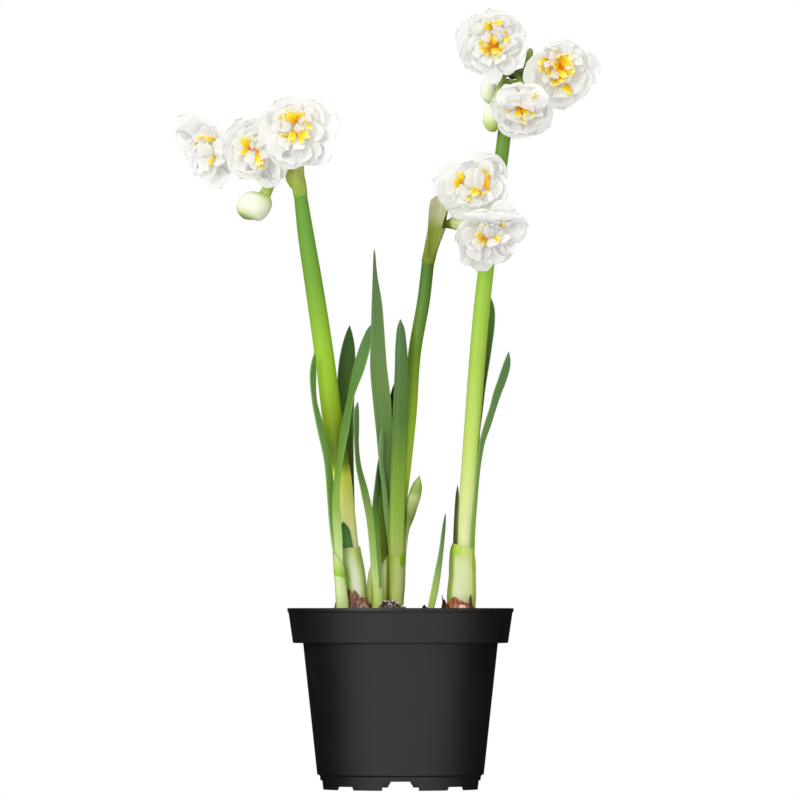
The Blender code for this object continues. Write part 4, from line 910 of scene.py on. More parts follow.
# %% Draw the pot's profile
LIP_RADIUS = POT_RADIUS / MM
RIM_HEIGHT = POT_HEIGHT / MM
BAND_TOP_RADIUS = 64.4
BAND_FOOT_RADIUS = 61.9
BAND_DROP = 20.1
BODY_TOP_RADIUS = 56.0
BODY_FOOT_RADIUS = 47.9
STEP_HEIGHT = 8.6
FOOT_RADIUS = 45.5
WALL = 1.3
FLOOR_UNDERSIDE = 6.4
FLOOR_TOP = 8.0
band_foot = RIM_HEIGHT - BAND_DROP
inner_floor = BODY_FOOT_RADIUS - WALL
POT_PROFILE = [
    (0, FLOOR_UNDERSIDE), (FOOT_RADIUS - 2.2, FLOOR_UNDERSIDE), (FOOT_RADIUS - 1.6, 0), (FOOT_RADIUS, 0),
    (FOOT_RADIUS + 0.8, STEP_HEIGHT - 0.7), (BODY_FOOT_RADIUS, STEP_HEIGHT),
    (BODY_TOP_RADIUS, band_foot), (BAND_FOOT_RADIUS - 0.3, band_foot),
    (BAND_FOOT_RADIUS, band_foot + 0.5), (BAND_TOP_RADIUS, RIM_HEIGHT - 2.6),
    (LIP_RADIUS, RIM_HEIGHT - 1.9), (LIP_RADIUS, RIM_HEIGHT),
    (BAND_TOP_RADIUS - WALL, RIM_HEIGHT), (BAND_FOOT_RADIUS - WALL, band_foot + WALL + 0.4),
    (BODY_TOP_RADIUS - WALL + 0.2, band_foot + WALL - 0.4), (inner_floor, FLOOR_TOP + 1.2),
    (inner_floor - 1.2, FLOOR_TOP), (0, FLOOR_TOP),
]
print("profile points", len(POT_PROFILE))

# %% [markdown]
# A lathe would turn such a profile, and so does the spin operator. The corners are bevelled before
# the turn, while they are still points, because moulded plastic has no sharp edge. A full turn ends
# where it began, so its last ring is merged with the first.

# %% Turn the pot
TURNS = 160
CORNER = 0.35


def turned(profile, corner, steps):
    """Turn a profile of radius and height round the pot's axis; its corners are bevelled first."""
    bm = bmesh.new()
    points = [bm.verts.new((radius, 0, height)) for radius, height in profile]
    for low, high in zip(points, points[1:]):
        bm.edges.new((low, high))
    bmesh.ops.bevel(bm, geom=points[1:-1], offset=corner, affect="VERTICES", segments=3, profile=0.5,
                    material=-1)
    bmesh.ops.spin(bm, geom=bm.verts[:] + bm.edges[:], axis=(0, 0, 1), cent=(0, 0, 0), steps=steps,
                   angle=math.tau, use_merge=True)
    bmesh.ops.remove_doubles(bm, verts=bm.verts, dist=0.01)
    bmesh.ops.recalc_face_normals(bm, faces=bm.faces)
    return bm


def to_frame(bm):
    """Carry a bmesh drawn in millimetres from the pot's axis into the frame."""
    for vert in bm.verts:
        vert.co = place(*vert.co)


pot_bm = turned(POT_PROFILE, CORNER, TURNS)
to_frame(pot_bm)
print("turned faces", len(pot_bm.faces))

# %% [markdown]
# Water leaves the pot through four holes in its floor and four big notches in its foot, with a
# smaller notch between each two. They are cut with a Boolean, because the foot's ring stays plain
# between them, and each cutter is a bar that reaches well past the plastic.

# %% Cut the foot
# Notches: width at the bottom, width at the top and height
BIG_NOTCH = (20.9, 20.6, 5.2)
BACK_NOTCH = (16.0, 9.0, 5.2)
SMALL_NOTCH = (14.6, 12.6, 2.0)
DRAIN_RADIUS = 4.0
DRAIN_CIRCLE = 28.0
CUTTER_REACH = 8
CUTTER_DROP = 1


def notch_cutter(size, angle):
    """A bar with sloped flanks from the middle out through the foot; at 0 it points to the front."""
    foot, top, height = size
    bm = bmesh.new()
    bmesh.ops.create_cube(bm, size=2)
    for vert in bm.verts:
        half = (foot if vert.co.z < 0 else top) / 2
        outwards = 0 if vert.co.y > 0 else -FOOT_RADIUS - CUTTER_REACH
        vert.co = Vector((vert.co.x * half, outwards, height if vert.co.z > 0 else -CUTTER_DROP))
    bmesh.ops.rotate(bm, verts=bm.verts, cent=(0, 0, 0), matrix=Matrix.Rotation(angle, 3, "Z"))
    to_frame(bm)
    return add_mesh("notch_cutter", bm)


def drain_cutter(angle):
    """A round bar through the floor."""
    bm = bmesh.new()
    mid_floor = (FLOOR_UNDERSIDE + FLOOR_TOP) / 2
    spot = (DRAIN_CIRCLE * cos(angle), DRAIN_CIRCLE * sin(angle), mid_floor)
    bmesh.ops.create_cone(bm, cap_ends=True, segments=32, radius1=DRAIN_RADIUS, radius2=DRAIN_RADIUS,
                          depth=CUTTER_REACH, matrix=Matrix.Translation(spot))
    to_frame(bm)
    return add_mesh("drain_cutter", bm)


def cut(bm, cutters):
    """Cut the bmesh with the helper objects, remove them and give the cut bmesh."""
    blank = add_mesh("blank", bm)
    for cutter in cutters:
        boolean = blank.modifiers.new("cut", "BOOLEAN")
        boolean.operation = "DIFFERENCE"
        boolean.object = cutter
        boolean.solver = "EXACT"
    made = bmesh.new()
    made.from_object(blank, bpy.context.evaluated_depsgraph_get())
    for obj in [blank] + cutters:
        bpy.data.objects.remove(obj, do_unlink=True)
    return made


cutters = []
for quarter, big in enumerate((BIG_NOTCH, BIG_NOTCH, BACK_NOTCH, BIG_NOTCH)):
    cutters.append(notch_cutter(big, math.pi / 2 * quarter))
    cutters.append(notch_cutter(SMALL_NOTCH, math.pi / 4 + math.pi / 2 * quarter))
for corner in range(4):
    cutters.append(drain_cutter(math.pi / 4 + math.pi / 2 * corner))
pot_bm = cut(pot_bm, cutters)
print("pot faces", len(pot_bm.faces))

# %% [markdown]
# Black plastic that came out of a mould is satin, not glossy. Close to, it has a fine grain and
# faint clouds, for it cools unevenly. The colour stays nearly black, and most of the look comes
# from how the roughness changes.

# %% Finish the pot
PLASTIC_DARK = srgb(9, 9, 9)
PLASTIC_LIGHT = srgb(15, 14, 15)
# In cells to a metre
CLOUDS = 34
GRAIN = 2600


def black_plastic():
    """Nearly black, with faint clouds in colour and roughness, and a fine grain."""
    mat, tree, shader = finish("pot_black_plastic", 0.44, 0.5)
    cloud = speckle(tree, CLOUDS, detail=5.0)
    tree.links.new(blend(tree, cloud, PLASTIC_DARK, PLASTIC_LIGHT), shader.inputs["Base Color"])
    tree.links.new(remap(tree, cloud, *NOISE_SPAN, 0.40, 0.50), shader.inputs["Roughness"])
    relief(tree, shader, speckle(tree, GRAIN, detail=2.0), distance=0.00004, strength=0.3)
    return mat


pot = piece(pot_bm, "nursery_pot", black_plastic(), "pot", sharp=math.radians(35))
print("pot triangles", face_count(pot))

# %% [markdown]
# Peat
#
# The pot is filled to a few millimetres below its rim with coarse black peat that has white
# specks of perlite in it. The surface is one body, whose top follows a height formula: level, with
# a heap in front of the middle shoot, and broken up by four sizes of noise. Loose crumbs lie on
# top of it, because a noise alone looks like mud. A sphere gives the body its rings: the upper ones
# are spread over the surface, and the lower ones follow the inside of the pot.

# %% Fill the pot with peat
SOIL_LEVEL = 98.0
GAP = 0.3
SOIL_TOP_RINGS = 70
SOIL_AROUND = 150
SOIL_RADIUS = BAND_FOOT_RADIUS - WALL - GAP
# Mounds: height, middle in x and y, and how widely they spread to the left, to the right and in y
MOUNDS = [(9.2, -8, -12, 80, 220, 90), (7, 14, -10, 4, 4, 16), (4, -4, 18, 300, 300, 200)]
# Bumps: height, size and seed, from soft humps to small clods
BUMPS = [(1.3, 9, 3.1), (0.8, 4, 7.7), (0.9, 1.7, 1.3), (0.4, 1, 5.1)]


def soil_height(x, y):
    """The top of the peat in millimetres, at a place in millimetres from the axis."""
    height = SOIL_LEVEL
    for rise, mid_x, mid_y, left, right, deep in MOUNDS:
        spread = left if x < mid_x else right
        height += rise * math.exp(-((x - mid_x) ** 2 / spread + (y - mid_y) ** 2 / deep))
    for rise, size, seed in BUMPS:
        height += rise * noise.noise(Vector((x / size, y / size, seed)))
    return height


SOIL_WALL = [
    (SOIL_RADIUS, band_foot + WALL + 2.0), (BODY_TOP_RADIUS - WALL - GAP, band_foot + WALL - 0.6),
    (inner_floor - GAP, FLOOR_TOP + 1.6), (inner_floor - 1.6, FLOOR_TOP + GAP),
]
soil_rings = SOIL_TOP_RINGS + len(SOIL_WALL) + 1
soil_bm = bmesh.new()
bmesh.ops.create_uvsphere(soil_bm, u_segments=SOIL_AROUND, v_segments=soil_rings, radius=1)
for vert in soil_bm.verts:
    ring = round(math.acos(max(-1.0, min(1.0, vert.co.z))) / math.pi * soil_rings)
    angle = math.atan2(vert.co.y, vert.co.x)
    if ring <= SOIL_TOP_RINGS:
        radius = SOIL_RADIUS * ring / SOIL_TOP_RINGS
        height = soil_height(radius * cos(angle), radius * sin(angle))
    elif ring < soil_rings:
        radius, height = SOIL_WALL[ring - SOIL_TOP_RINGS - 1]
    else:
        radius, height = 0.0, FLOOR_TOP + GAP
    vert.co = Vector((radius * cos(angle), radius * sin(angle), height))
to_frame(soil_bm)
print("peat faces", len(soil_bm.faces))

# %% [markdown]
# Moist peat is nearly black, and browner where a clod has dried. One noise gives both the colour
# and the relief, so that the high spots are the dry ones. A second noise, cut off near its top,
# leaves a few pale specks.

# %% Finish the peat
PEAT_BROWNS = [(0.34, (22, 16, 13)), (0.52, (52, 40, 32)), (0.7, (96, 78, 62))]
PEAT_SPECK = srgb(176, 168, 158)


def peat_finish():
    """Dark clods with a few pale specks."""
    mat, tree, shader = finish("black_peat", 0.95, 0.2)
    clods = speckle(tree, 900, detail=8.0)
    specks = remap(tree, speckle(tree, 1700, detail=1.0), 0.70, 0.74, 0.0, 0.8)
    colour = blend(tree, specks, ramp(tree, clods, PEAT_BROWNS), PEAT_SPECK)
    tree.links.new(colour, shader.inputs["Base Color"])
    relief(tree, shader, clods, distance=0.0012, strength=0.9)
    return mat


peat = piece(soil_bm, "peat", peat_finish(), "soil")
print("peat triangles", face_count(peat))

# %% [markdown]
# Crumbs are tiny balls of twenty faces, each squashed, turned and pushed about by a seeded draw, so
# that no two look the same and the scene comes out alike each time. Most are dark fibre, some are
# brown, and a few are white perlite. More of them lie on the heap, where the photo looks at them
# over the rim.

# %% Scatter the crumbs
CRUMBS = 1500
HEAP_CRUMBS = 260
# A few that the photo shows on the rim's skyline: x, y, size and tone, in millimetres
SKYLINE_CRUMBS = [
    (-9, -13, 1.3, 0.95), (-6.4, -15.5, 1.1, 0.35), (-3.6, -14.2, 1.2, 0.1), (-8.2, -11, 0.9, 0.98),
    (0.5, -15, 1.2, 0.6), (3, -13.6, 1, 0.85), (6, -12, 1.2, 0.3), (12.6, -9.5, 1.5, 0.05),
    (-4.8, -17, 0.9, 0.92), (-1.5, -16.4, 1, 0.2), (13.4, -12, 1.6, 0.05), (14.8, -11.4, 1.4, 0.1),
    (12.2, -12.6, 1.2, 0.2), (15.2, -9.6, 1.1, 0.3),
]
# From dark fibre by brown to perlite
CRUMB_TONES = [
    (0, (24, 17, 13)), (0.35, (44, 34, 30)), (0.6, (104, 82, 72)), (0.86, (150, 134, 128)),
    (0.9, (206, 200, 198)), (1, (236, 232, 230))]


def crumb(bm, x, y, size, tone, draw):
    """A squashed, turned and dented ball that lies on the peat."""
    tone_layer = layers(bm)[2]
    made = bmesh.ops.create_icosphere(bm, subdivisions=1, radius=1)["verts"]
    stretch = Vector((draw.uniform(0.6, 1.5), draw.uniform(0.6, 1.2), draw.uniform(0.45, 0.95)))
    stretch = stretch * size * 0.6
    turn = Matrix.Rotation(draw.uniform(0, math.tau), 3, "Z")
    turn = turn @ Matrix.Rotation(draw.uniform(-0.9, 0.9), 3, "X")
    height = soil_height(x, y) + size * 0.12
    for vert in made:
        knock = 1 + draw.uniform(-0.22, 0.22)
        local = turn @ Vector(a * b for a, b in zip(vert.co * knock, stretch))
        vert.co = place(x + local.x, y + local.y, height + local.z)
        vert[tone_layer] = tone


def crumb_finish():
    """Each crumb's tone picks its colour, and a fine grain varies it."""
    mat, tree, shader = finish("peat_crumbs", 0.9, 0.25)
    colour = ramp(tree, stored(tree, "tone"), CRUMB_TONES)
    grain = remap(tree, speckle(tree, GRAIN, detail=3.0), *NOISE_SPAN, 0.75, 1.2)
    tree.links.new(blend(tree, 1.0, colour, grain, "MULTIPLY"), shader.inputs["Base Color"])
    relief(tree, shader, speckle(tree, 4200, detail=2.0), distance=0.0002, strength=0.6)
    return mat


draw = random.Random(11)
crumb_bm = bmesh.new()
for k in range(CRUMBS + HEAP_CRUMBS):
    if k < CRUMBS:
        reach = (SOIL_RADIUS - 1.5) * math.sqrt(draw.random())
        angle = draw.uniform(0, math.tau)
        x, y = reach * cos(angle), reach * sin(angle)
    else:
        x, y = draw.gauss(-3, 7), draw.gauss(-14, 6)
    size = min(2.6, 0.7 + draw.expovariate(2.6))
    tone = draw.random() ** (1.25 if k < CRUMBS else 0.4)
    crumb(crumb_bm, x, y, size, tone, draw)
for x, y, size, tone in SKYLINE_CRUMBS:
    crumb(crumb_bm, x, y, size, tone, draw)
crumbs = piece(crumb_bm, "peat_crumbs", crumb_finish(), slot="soil")
print("crumb triangles", face_count(crumbs))

# %% [markdown]
# Bulbs
#
# The bulbs stand in the peat up to their necks. What shows is the tunic, the dry brown skin: it
# splits as the shoots swell and stands up in torn flakes. The bulbs were measured like the sheaths,
# and each flake by the outline of its torn edge round the neck.

# %% Measure the bulbs and their flakes
# Rows are x, y, z, half width and half depth in millimetres
BULBS = {
    "bulb_left": [
        (-27, -4, 62, 4, 4), (-27, -4, 66, 10.5, 10.5), (-27, -4, 74, 14.6, 14.6), (-27, -4, 83, 15, 15),
        (-26.6, -4, 92, 12.8, 13.6), (-26, -3.4, 99, 10.4, 12.6), (-25.4, -2.8, 104.6, 8.9, 12),
        (-25.6, -2.6, 109.6, 7.9, 11.7)],
    "bulb_right": [
        (35, -2, 60, 4, 4), (35, -2, 64, 11, 11), (35, -2, 72, 15.6, 15.6), (35, -2, 82, 16, 16),
        (35, -2, 91, 14, 14.4), (35, -1.6, 98, 10.8, 12), (34.6, -1.2, 103, 8.7, 11),
        (34.2, -1, 106.4, 7.6, 10.2)],
}
# Flakes: how far they stand out, how much they curl, their tone (0 plain, 1 dark, -1 pale) and
# their torn edge as (degrees, height), where 0 degrees is the right side and -90 the front
FLAKES = {
    "bulb_left": [
        (0.5, 0.5, 0, [
            (-178, 111), (-150, 113.5), (-124, 115.4), (-112, 114.4), (-100, 111), (-90, 106)]),
        (1, 0.5, 0.3, [(-106, 104), (-101, 112.4), (-95, 114.8), (-88, 113), (-77, 110.8), (-62, 104)]),
        (0.7, 0.7, 0, [(-72, 104), (-66, 109.8), (-50, 108.6), (-37, 107), (-18, 105.8), (6, 102)]),
        (1.3, 0.2, 0.6, [(-112, 103), (-104, 108.6), (-98, 109.6), (-92, 107.4), (-86, 103)]),
        (1.3, 0.3, -0.35, [(-84, 102), (-76, 106), (-62, 106.4), (-50, 105.6), (-40, 102)]),
        (2.9, 0.5, 0.5, [(172, 100), (180, 107), (190, 109.2), (204, 108.4), (218, 104)]),
        (0.8, 1.2, 0.5, [(170, 102), (176, 108), (184, 110), (192, 109.2), (204, 105)]),
        (0.6, 1.4, 0, [(20, 102), (50, 108), (90, 110), (130, 109), (160, 103)])],
    "bulb_right": [
        (0.6, 0.3, 0, [
            (-168, 103), (-150, 106.4), (-132, 108.6), (-112, 111), (-106, 108.8), (-100, 103)]),
        (0.9, 0.3, 0, [(-119, 104), (-112, 110.6), (-100, 109.4), (-80, 108), (-62, 106.4), (-52, 103)]),
        (1.5, 0.1, 0.9, [(-58, 102), (-53, 109.5), (-49, 112.2), (-45, 110), (-40, 102)]),
        (1.5, 0.2, -0.9, [(-100, 102), (-93, 105.6), (-84, 105.8), (-74, 105.5), (-68, 102)]),
        (1.4, 0.5, 0.85, [
            (-190, 102), (-184, 108), (-172, 109.4), (-158, 108.6), (-146, 106.8), (-136, 103)]),
        (1.8, 0.8, 1, [(172, 102), (178, 109), (184, 112), (189, 108), (196, 102)]),
        (0.6, 1.2, 0.2, [(10, 102), (50, 107), (90, 109), (130, 108), (160, 103)])],
}
FLAKE_FOOT = 96.0
FLAKE_TEETH = 0.55
FLAKE_THICKNESS = 0.35
# Share of a flake's height from which it stands free of the neck
FLAKE_FREE = 0.45
# How much a seed grows from flake to flake, and from bulb to bulb
FLAKE_SEED, BULB_SEED = 3.7, 11
print("bulbs", len(BULBS), "flakes", sum(len(flakes) for flakes in FLAKES.values()))

# %% [markdown]
# Each bulb is a bar. A flake could be cut out of the bulb's own surface, but it has to stand away
# from it, so it is a small grid that is bent round the neck. Its foot hides in the peat, and a noise
# frays its top edge, which curls outwards.

# %% Helpers for bulbs
def oval_section(angle, row):
    """An oval with faint ribs."""
    ribs = 1 + 0.012 * sin(9 * angle) + 0.008 * sin(17 * angle + 1)
    return oval_point(angle, row[3], row[4], ribs)


def ring_at(rows, height):
    """Centre and half sizes of a bulb at a height; above its top ring they stay."""
    table = np.array(rows, float)
    return [float(np.interp(height, table[:, 2], table[:, k])) for k in (0, 1, 3, 4)]


def flake(bm, rows, spec, seed):
    """One torn flake: a grid bent round the neck, whose top edge curls away."""
    out, curl, tone, skyline = spec
    edge = np.array(skyline, float)
    along_layer, across_layer, tone_layer = layers(bm)
    made = bmesh.ops.create_grid(bm, x_segments=36, y_segments=10, size=1)["verts"]
    for vert in made:
        u = (vert.co.x + 1) / 2
        t = (vert.co.y + 1) / 2
        degrees = edge[0, 0] + (edge[-1, 0] - edge[0, 0]) * u
        teeth = noise.noise(Vector((degrees * 0.11, seed, 0.3)))
        teeth += 0.6 * noise.noise(Vector((degrees * 0.3, seed, 4.1)))
        top = float(np.interp(degrees, edge[:, 0], edge[:, 1])) + teeth * FLAKE_TEETH
        height = FLAKE_FOOT + (top - FLAKE_FOOT) * t
        angle = math.radians(degrees)
        x, y, half_width, half_depth = ring_at(rows, height)
        free = max(0.0, t - FLAKE_FREE) / (1 - FLAKE_FREE)
        away = out + curl * free**2 + 0.35 * noise.noise(Vector((u * 6, t * 3, seed)))
        vert[along_layer] = t
        vert[across_layer] = math.radians(degrees) / 2
        vert[tone_layer] = tone
        vert.co = place(x + (half_width + away) * cos(angle),
                        y + (half_depth + away) * sin(angle), height)


print("neck of the left bulb at 105 mm", [round(v, 1) for v in ring_at(BULBS["bulb_left"], 105)])

# %% [markdown]
# The dry skin is papery and a little glossy. Its fibres run upwards, so they follow the same streaks
# as a leaf's veins, with blots between them. Each flake has a tone of its own: dead dark crusts
# stand beside pale pink flakes.

# %% Finish the bulbs and build them
TUNIC_COLOURS = {
    "bulb_left": ((66, 32, 20), (138, 84, 60), (212, 164, 136)),
    "bulb_right": ((70, 30, 14), (154, 78, 36), (210, 134, 84)),
}
DEAD_CRUST = srgb(34, 22, 18)
PALE_FLAKE_TINT = srgb(238, 206, 186)


def tunic_finish(name, dark, middle_tone, light):
    """Brown fibres; the tone of a flake darkens it to a dead crust or makes it pale pink."""
    mat, tree, shader = finish(name + "_tunic", 0.42, 0.5)
    fibres = grown_streaks(tree, fine=13.0, long=1.6, detail=5.0)
    blots = speckle(tree, 620, detail=3.0)
    mottled = sums(tree, "ADD", sums(tree, "MULTIPLY", fibres, 0.55), sums(tree, "MULTIPLY", blots, 0.45))
    colour = ramp(tree, mottled, [(0.36, dark), (0.5, middle_tone), (0.66, light)])
    tone = stored(tree, "tone")
    colour = blend(tree, remap(tree, tone, 0.0, 1.0, 0.0, 0.9), colour, DEAD_CRUST)
    colour = blend(tree, remap(tree, tone, -1.0, 0.0, 0.9, 0.0), colour, PALE_FLAKE_TINT)
    tree.links.new(colour, shader.inputs["Base Color"])
    relief(tree, shader, mottled, distance=0.0008, strength=0.9)
    return mat


for count, (name, rows) in enumerate(BULBS.items()):
    skin = tunic_finish(name, *TUNIC_COLOURS[name])
    bm = bmesh.new()
    bar(bm, rows, around=60, steps=40, section=oval_section, twisted=False)
    piece(bm, name + "_body", skin, name)
    bm = bmesh.new()
    for k, spec in enumerate(FLAKES[name]):
        flake(bm, rows, spec, FLAKE_SEED * k + BULB_SEED * count)
    flakes = piece(bm, name + "_flakes", skin, slot=name)
    thin_shell(flakes, FLAKE_THICKNESS)
    print(name, "flake triangles", face_count(flakes))
# The peat covers the third bulb, so its plain solid only gets the same skin
buried = tunic_finish("bulb_middle", *TUNIC_COLOURS["bulb_left"])
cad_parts["bulb_middle"].data.materials.clear()
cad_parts["bulb_middle"].data.materials.append(buried)

# %% [markdown]
# Spathes
#
# Before they opened, all the buds of a stem sat in one papery wrapper, the spathe. It has split
# and dried to tan where it is thin, and is still green where it joins the stem. Each is a short
# wrinkled bar round the stem's end, and a flap that is a very thin leaf.

# %% Wrap the stem tops
# Tubes have rows of x, y, z and radius; flaps have x, y, z and width
SPATHES = {
    "spathe_left": dict(
        tube=[
            (-57.4, -0.8, 340.7, 3.9), (-58.4, -0.8, 346, 4.3), (-59.6, -0.8, 351.4, 4.7),
            (-60.4, -1, 358, 4.9), (-60.8, -1.2, 361, 4.6)],
        flap=[
            (-61, -2.4, 346.4, 4.6), (-63.6, -4.2, 351.2, 5), (-65.8, -4.8, 355.4, 3.6),
            (-66.8, -4.9, 358.2, 1)]),
    "spathe_middle": dict(
        tube=[
            (15.8, 4, 302.4, 3.7), (17.6, 4, 311.6, 4), (20, 4.1, 319, 4.7), (21.2, 4.2, 323.4, 4.8)],
        flap=[
            (16.6, 1.6, 304, 3), (17.8, -0.4, 309.6, 5), (19.2, -1.2, 317.8, 7.4),
            (20.2, -1.5, 326.6, 8.6), (21.6, -1.6, 334, 10.2), (22, -1.7, 339.8, 7.4),
            (22.2, -1.8, 342, 3)]),
    "spathe_right": dict(
        tube=[
            (62.3, 0, 396.7, 3.9), (63, 0, 401.6, 4.3), (64.2, 0, 406, 4.5), (64.6, 0, 408, 4.2)],
        flap=[
            (65.4, 2.6, 400.6, 5), (70.6, 5.8, 409, 4.6), (73.6, 6.8, 417.6, 4.4),
            (75, 6.8, 426.8, 3.6)]),
}
SPATHE_STOPS = {
    "spathe_left": [
        (0, (130, 170, 52)), (0.25, (154, 174, 66)), (0.6, (164, 174, 78)), (0.82, (176, 182, 98)),
        (0.92, (206, 190, 136)), (1, (216, 186, 144))],
    "spathe_middle": [
        (0, (104, 124, 12)), (0.3, (118, 136, 18)), (0.5, (126, 138, 40)), (0.68, (172, 174, 120)),
        (1, (190, 183, 154))],
    "spathe_right": [
        (0, (76, 104, 14)), (0.4, (88, 116, 20)), (0.75, (120, 146, 50)), (1, (168, 182, 116))],
}
FLAP_THICKNESS = 0.5


def spathe_section(angle, row):
    """Round, with folds that wander as they go up."""
    folds = 1 + 0.05 * sin(3 * angle + row[2] * 0.35) + 0.02 * sin(11 * angle)
    return oval_point(angle, row[3], row[3], folds)


def flap_section(angle, row):
    """A very thin leaf, hollow and a little wavy."""
    half = row[3] / 2
    curl = 0.35 * half * cos(angle) ** 2 + 0.25 * sin(row[2] * 0.8) * cos(angle)
    return half * cos(angle), FLAP_THICKNESS / 2 * sin(angle) + curl


for count, (name, parts) in enumerate(SPATHES.items()):
    bm = bmesh.new()
    bar(bm, parts["tube"], around=32, steps=16, section=spathe_section, tone=0.2 + count)
    bar(bm, parts["flap"], around=20, steps=22, section=flap_section, tone=0.7 + count,
        rounding=TIP_ROUNDING)
    skin = grown_finish(name + "_skin", SPATHE_STOPS[name], streak=0.2, fine=9.0, roughness=0.5)
    piece(bm, name + "_wrap", skin, name)
print("spathes made", len(SPATHES))

# %% [markdown]
# Blooms
#
# A double daffodil has two rings of three broad petals, and inside them its crown and stamens have
# turned into a crowd of small white petals with bits of the orange crown between them. The two
# rings lie back. Soft lobes fill the middle, with short crests before them and frills of crown
# between, and a cap may fold down over the middle from above. Each sort has its own curve and folds.

# %% Describe the petal sorts
# Each curve is given as start (out, up in mm), bend and end (share of the reach, up in mm). Foot is
# the width of the petal's foot, cup and fold hollow it, ruffle waves its edges, pleats gather it,
# crumple dents it, crease runs down its middle, sway and twist turn its tip, curl, point and ragged
# shape the tip's edge, jag tears its outline, and a high blunt keeps it wide to its end. Droop lets
# the tip of a petal that points up fall back, so that it faces the light. Grid is the columns and
# rows that it is bent from
SORTS = {
    "outer": dict(
        start=(2.4, -6.6), bend=(0.62, -5.8), end=(1, -2.8), foot=0.18, cup=0.12, fold=0.1, ruffle=0.9,
        pleats=0, crumple=1, crease=0.5, point=1.3, ragged=0.35, sway=0.05, twist=0.22, curl=0.1,
        jag=0.16, blunt=(3, 5), droop=0, grid=(20, 24)),
    "second": dict(
        start=(2.6, -5.3), bend=(0.62, -3.2), end=(1, 0.4), foot=0.18, cup=0.12, fold=0.12, ruffle=1,
        pleats=0, crumple=1.2, crease=0.5, point=1, ragged=0.35, sway=0.06, twist=0.25, curl=0.12,
        jag=0.16, blunt=(3, 5), droop=0.6, grid=(20, 24)),
    "cap": dict(
        start=(0, -2.4), bend=(0.4, 5.4), end=(1, 5.4), foot=0.34, cup=-0.04, fold=0.05, ruffle=1.4,
        pleats=0, crumple=2.6, crease=0.4, point=0.5, ragged=1.6, sway=0.05, twist=0.14, curl=0, jag=0.28,
        blunt=(5, 8), droop=0, grid=(20, 24)),
    "lobe": dict(
        start=(0, -0.4), bend=(0.55, 0.6), end=(1, 2.4), foot=0.5, cup=0.08, fold=0.1, ruffle=0.55,
        pleats=0, crumple=0.55, crease=0.4, point=0.3, ragged=0.6, sway=0.06, twist=0.18, curl=0.1,
        jag=0.15, blunt=(4, 7), droop=1.6, grid=(20, 24)),
    "crest": dict(
        start=(0, 1.6), bend=(0.5, 3.6), end=(1, 4.6), foot=0.5, cup=-0.04, fold=0.16, ruffle=0.65,
        pleats=0, crumple=0.9, crease=0.3, point=0.2, ragged=1.2, sway=0.08, twist=0.4, curl=0.16,
        jag=0.5, blunt=(8, 14), droop=2.6, grid=(12, 14)),
    "frill": dict(
        start=(0, 1), bend=(0.5, 2.2), end=(1, 4.2), foot=0.34, cup=0, fold=0, ruffle=1.2, pleats=0.42,
        crumple=1.6, crease=0.2, point=0, ragged=2.6, sway=0.06, twist=0.3, curl=0.16, jag=0.5,
        blunt=(8, 14), droop=1, grid=(16, 14)),
}
WHITE_SORTS = ("outer", "second", "cap", "lobe", "crest")
print("petal sorts", len(SORTS))

# %% [markdown]
# The eight blooms differ: some face us, some look down or away, and in each the bits of crown show
# at other places. So each has its own list of petals, set where the photo shows the most striking
# ones, and the rest fill the gaps between.

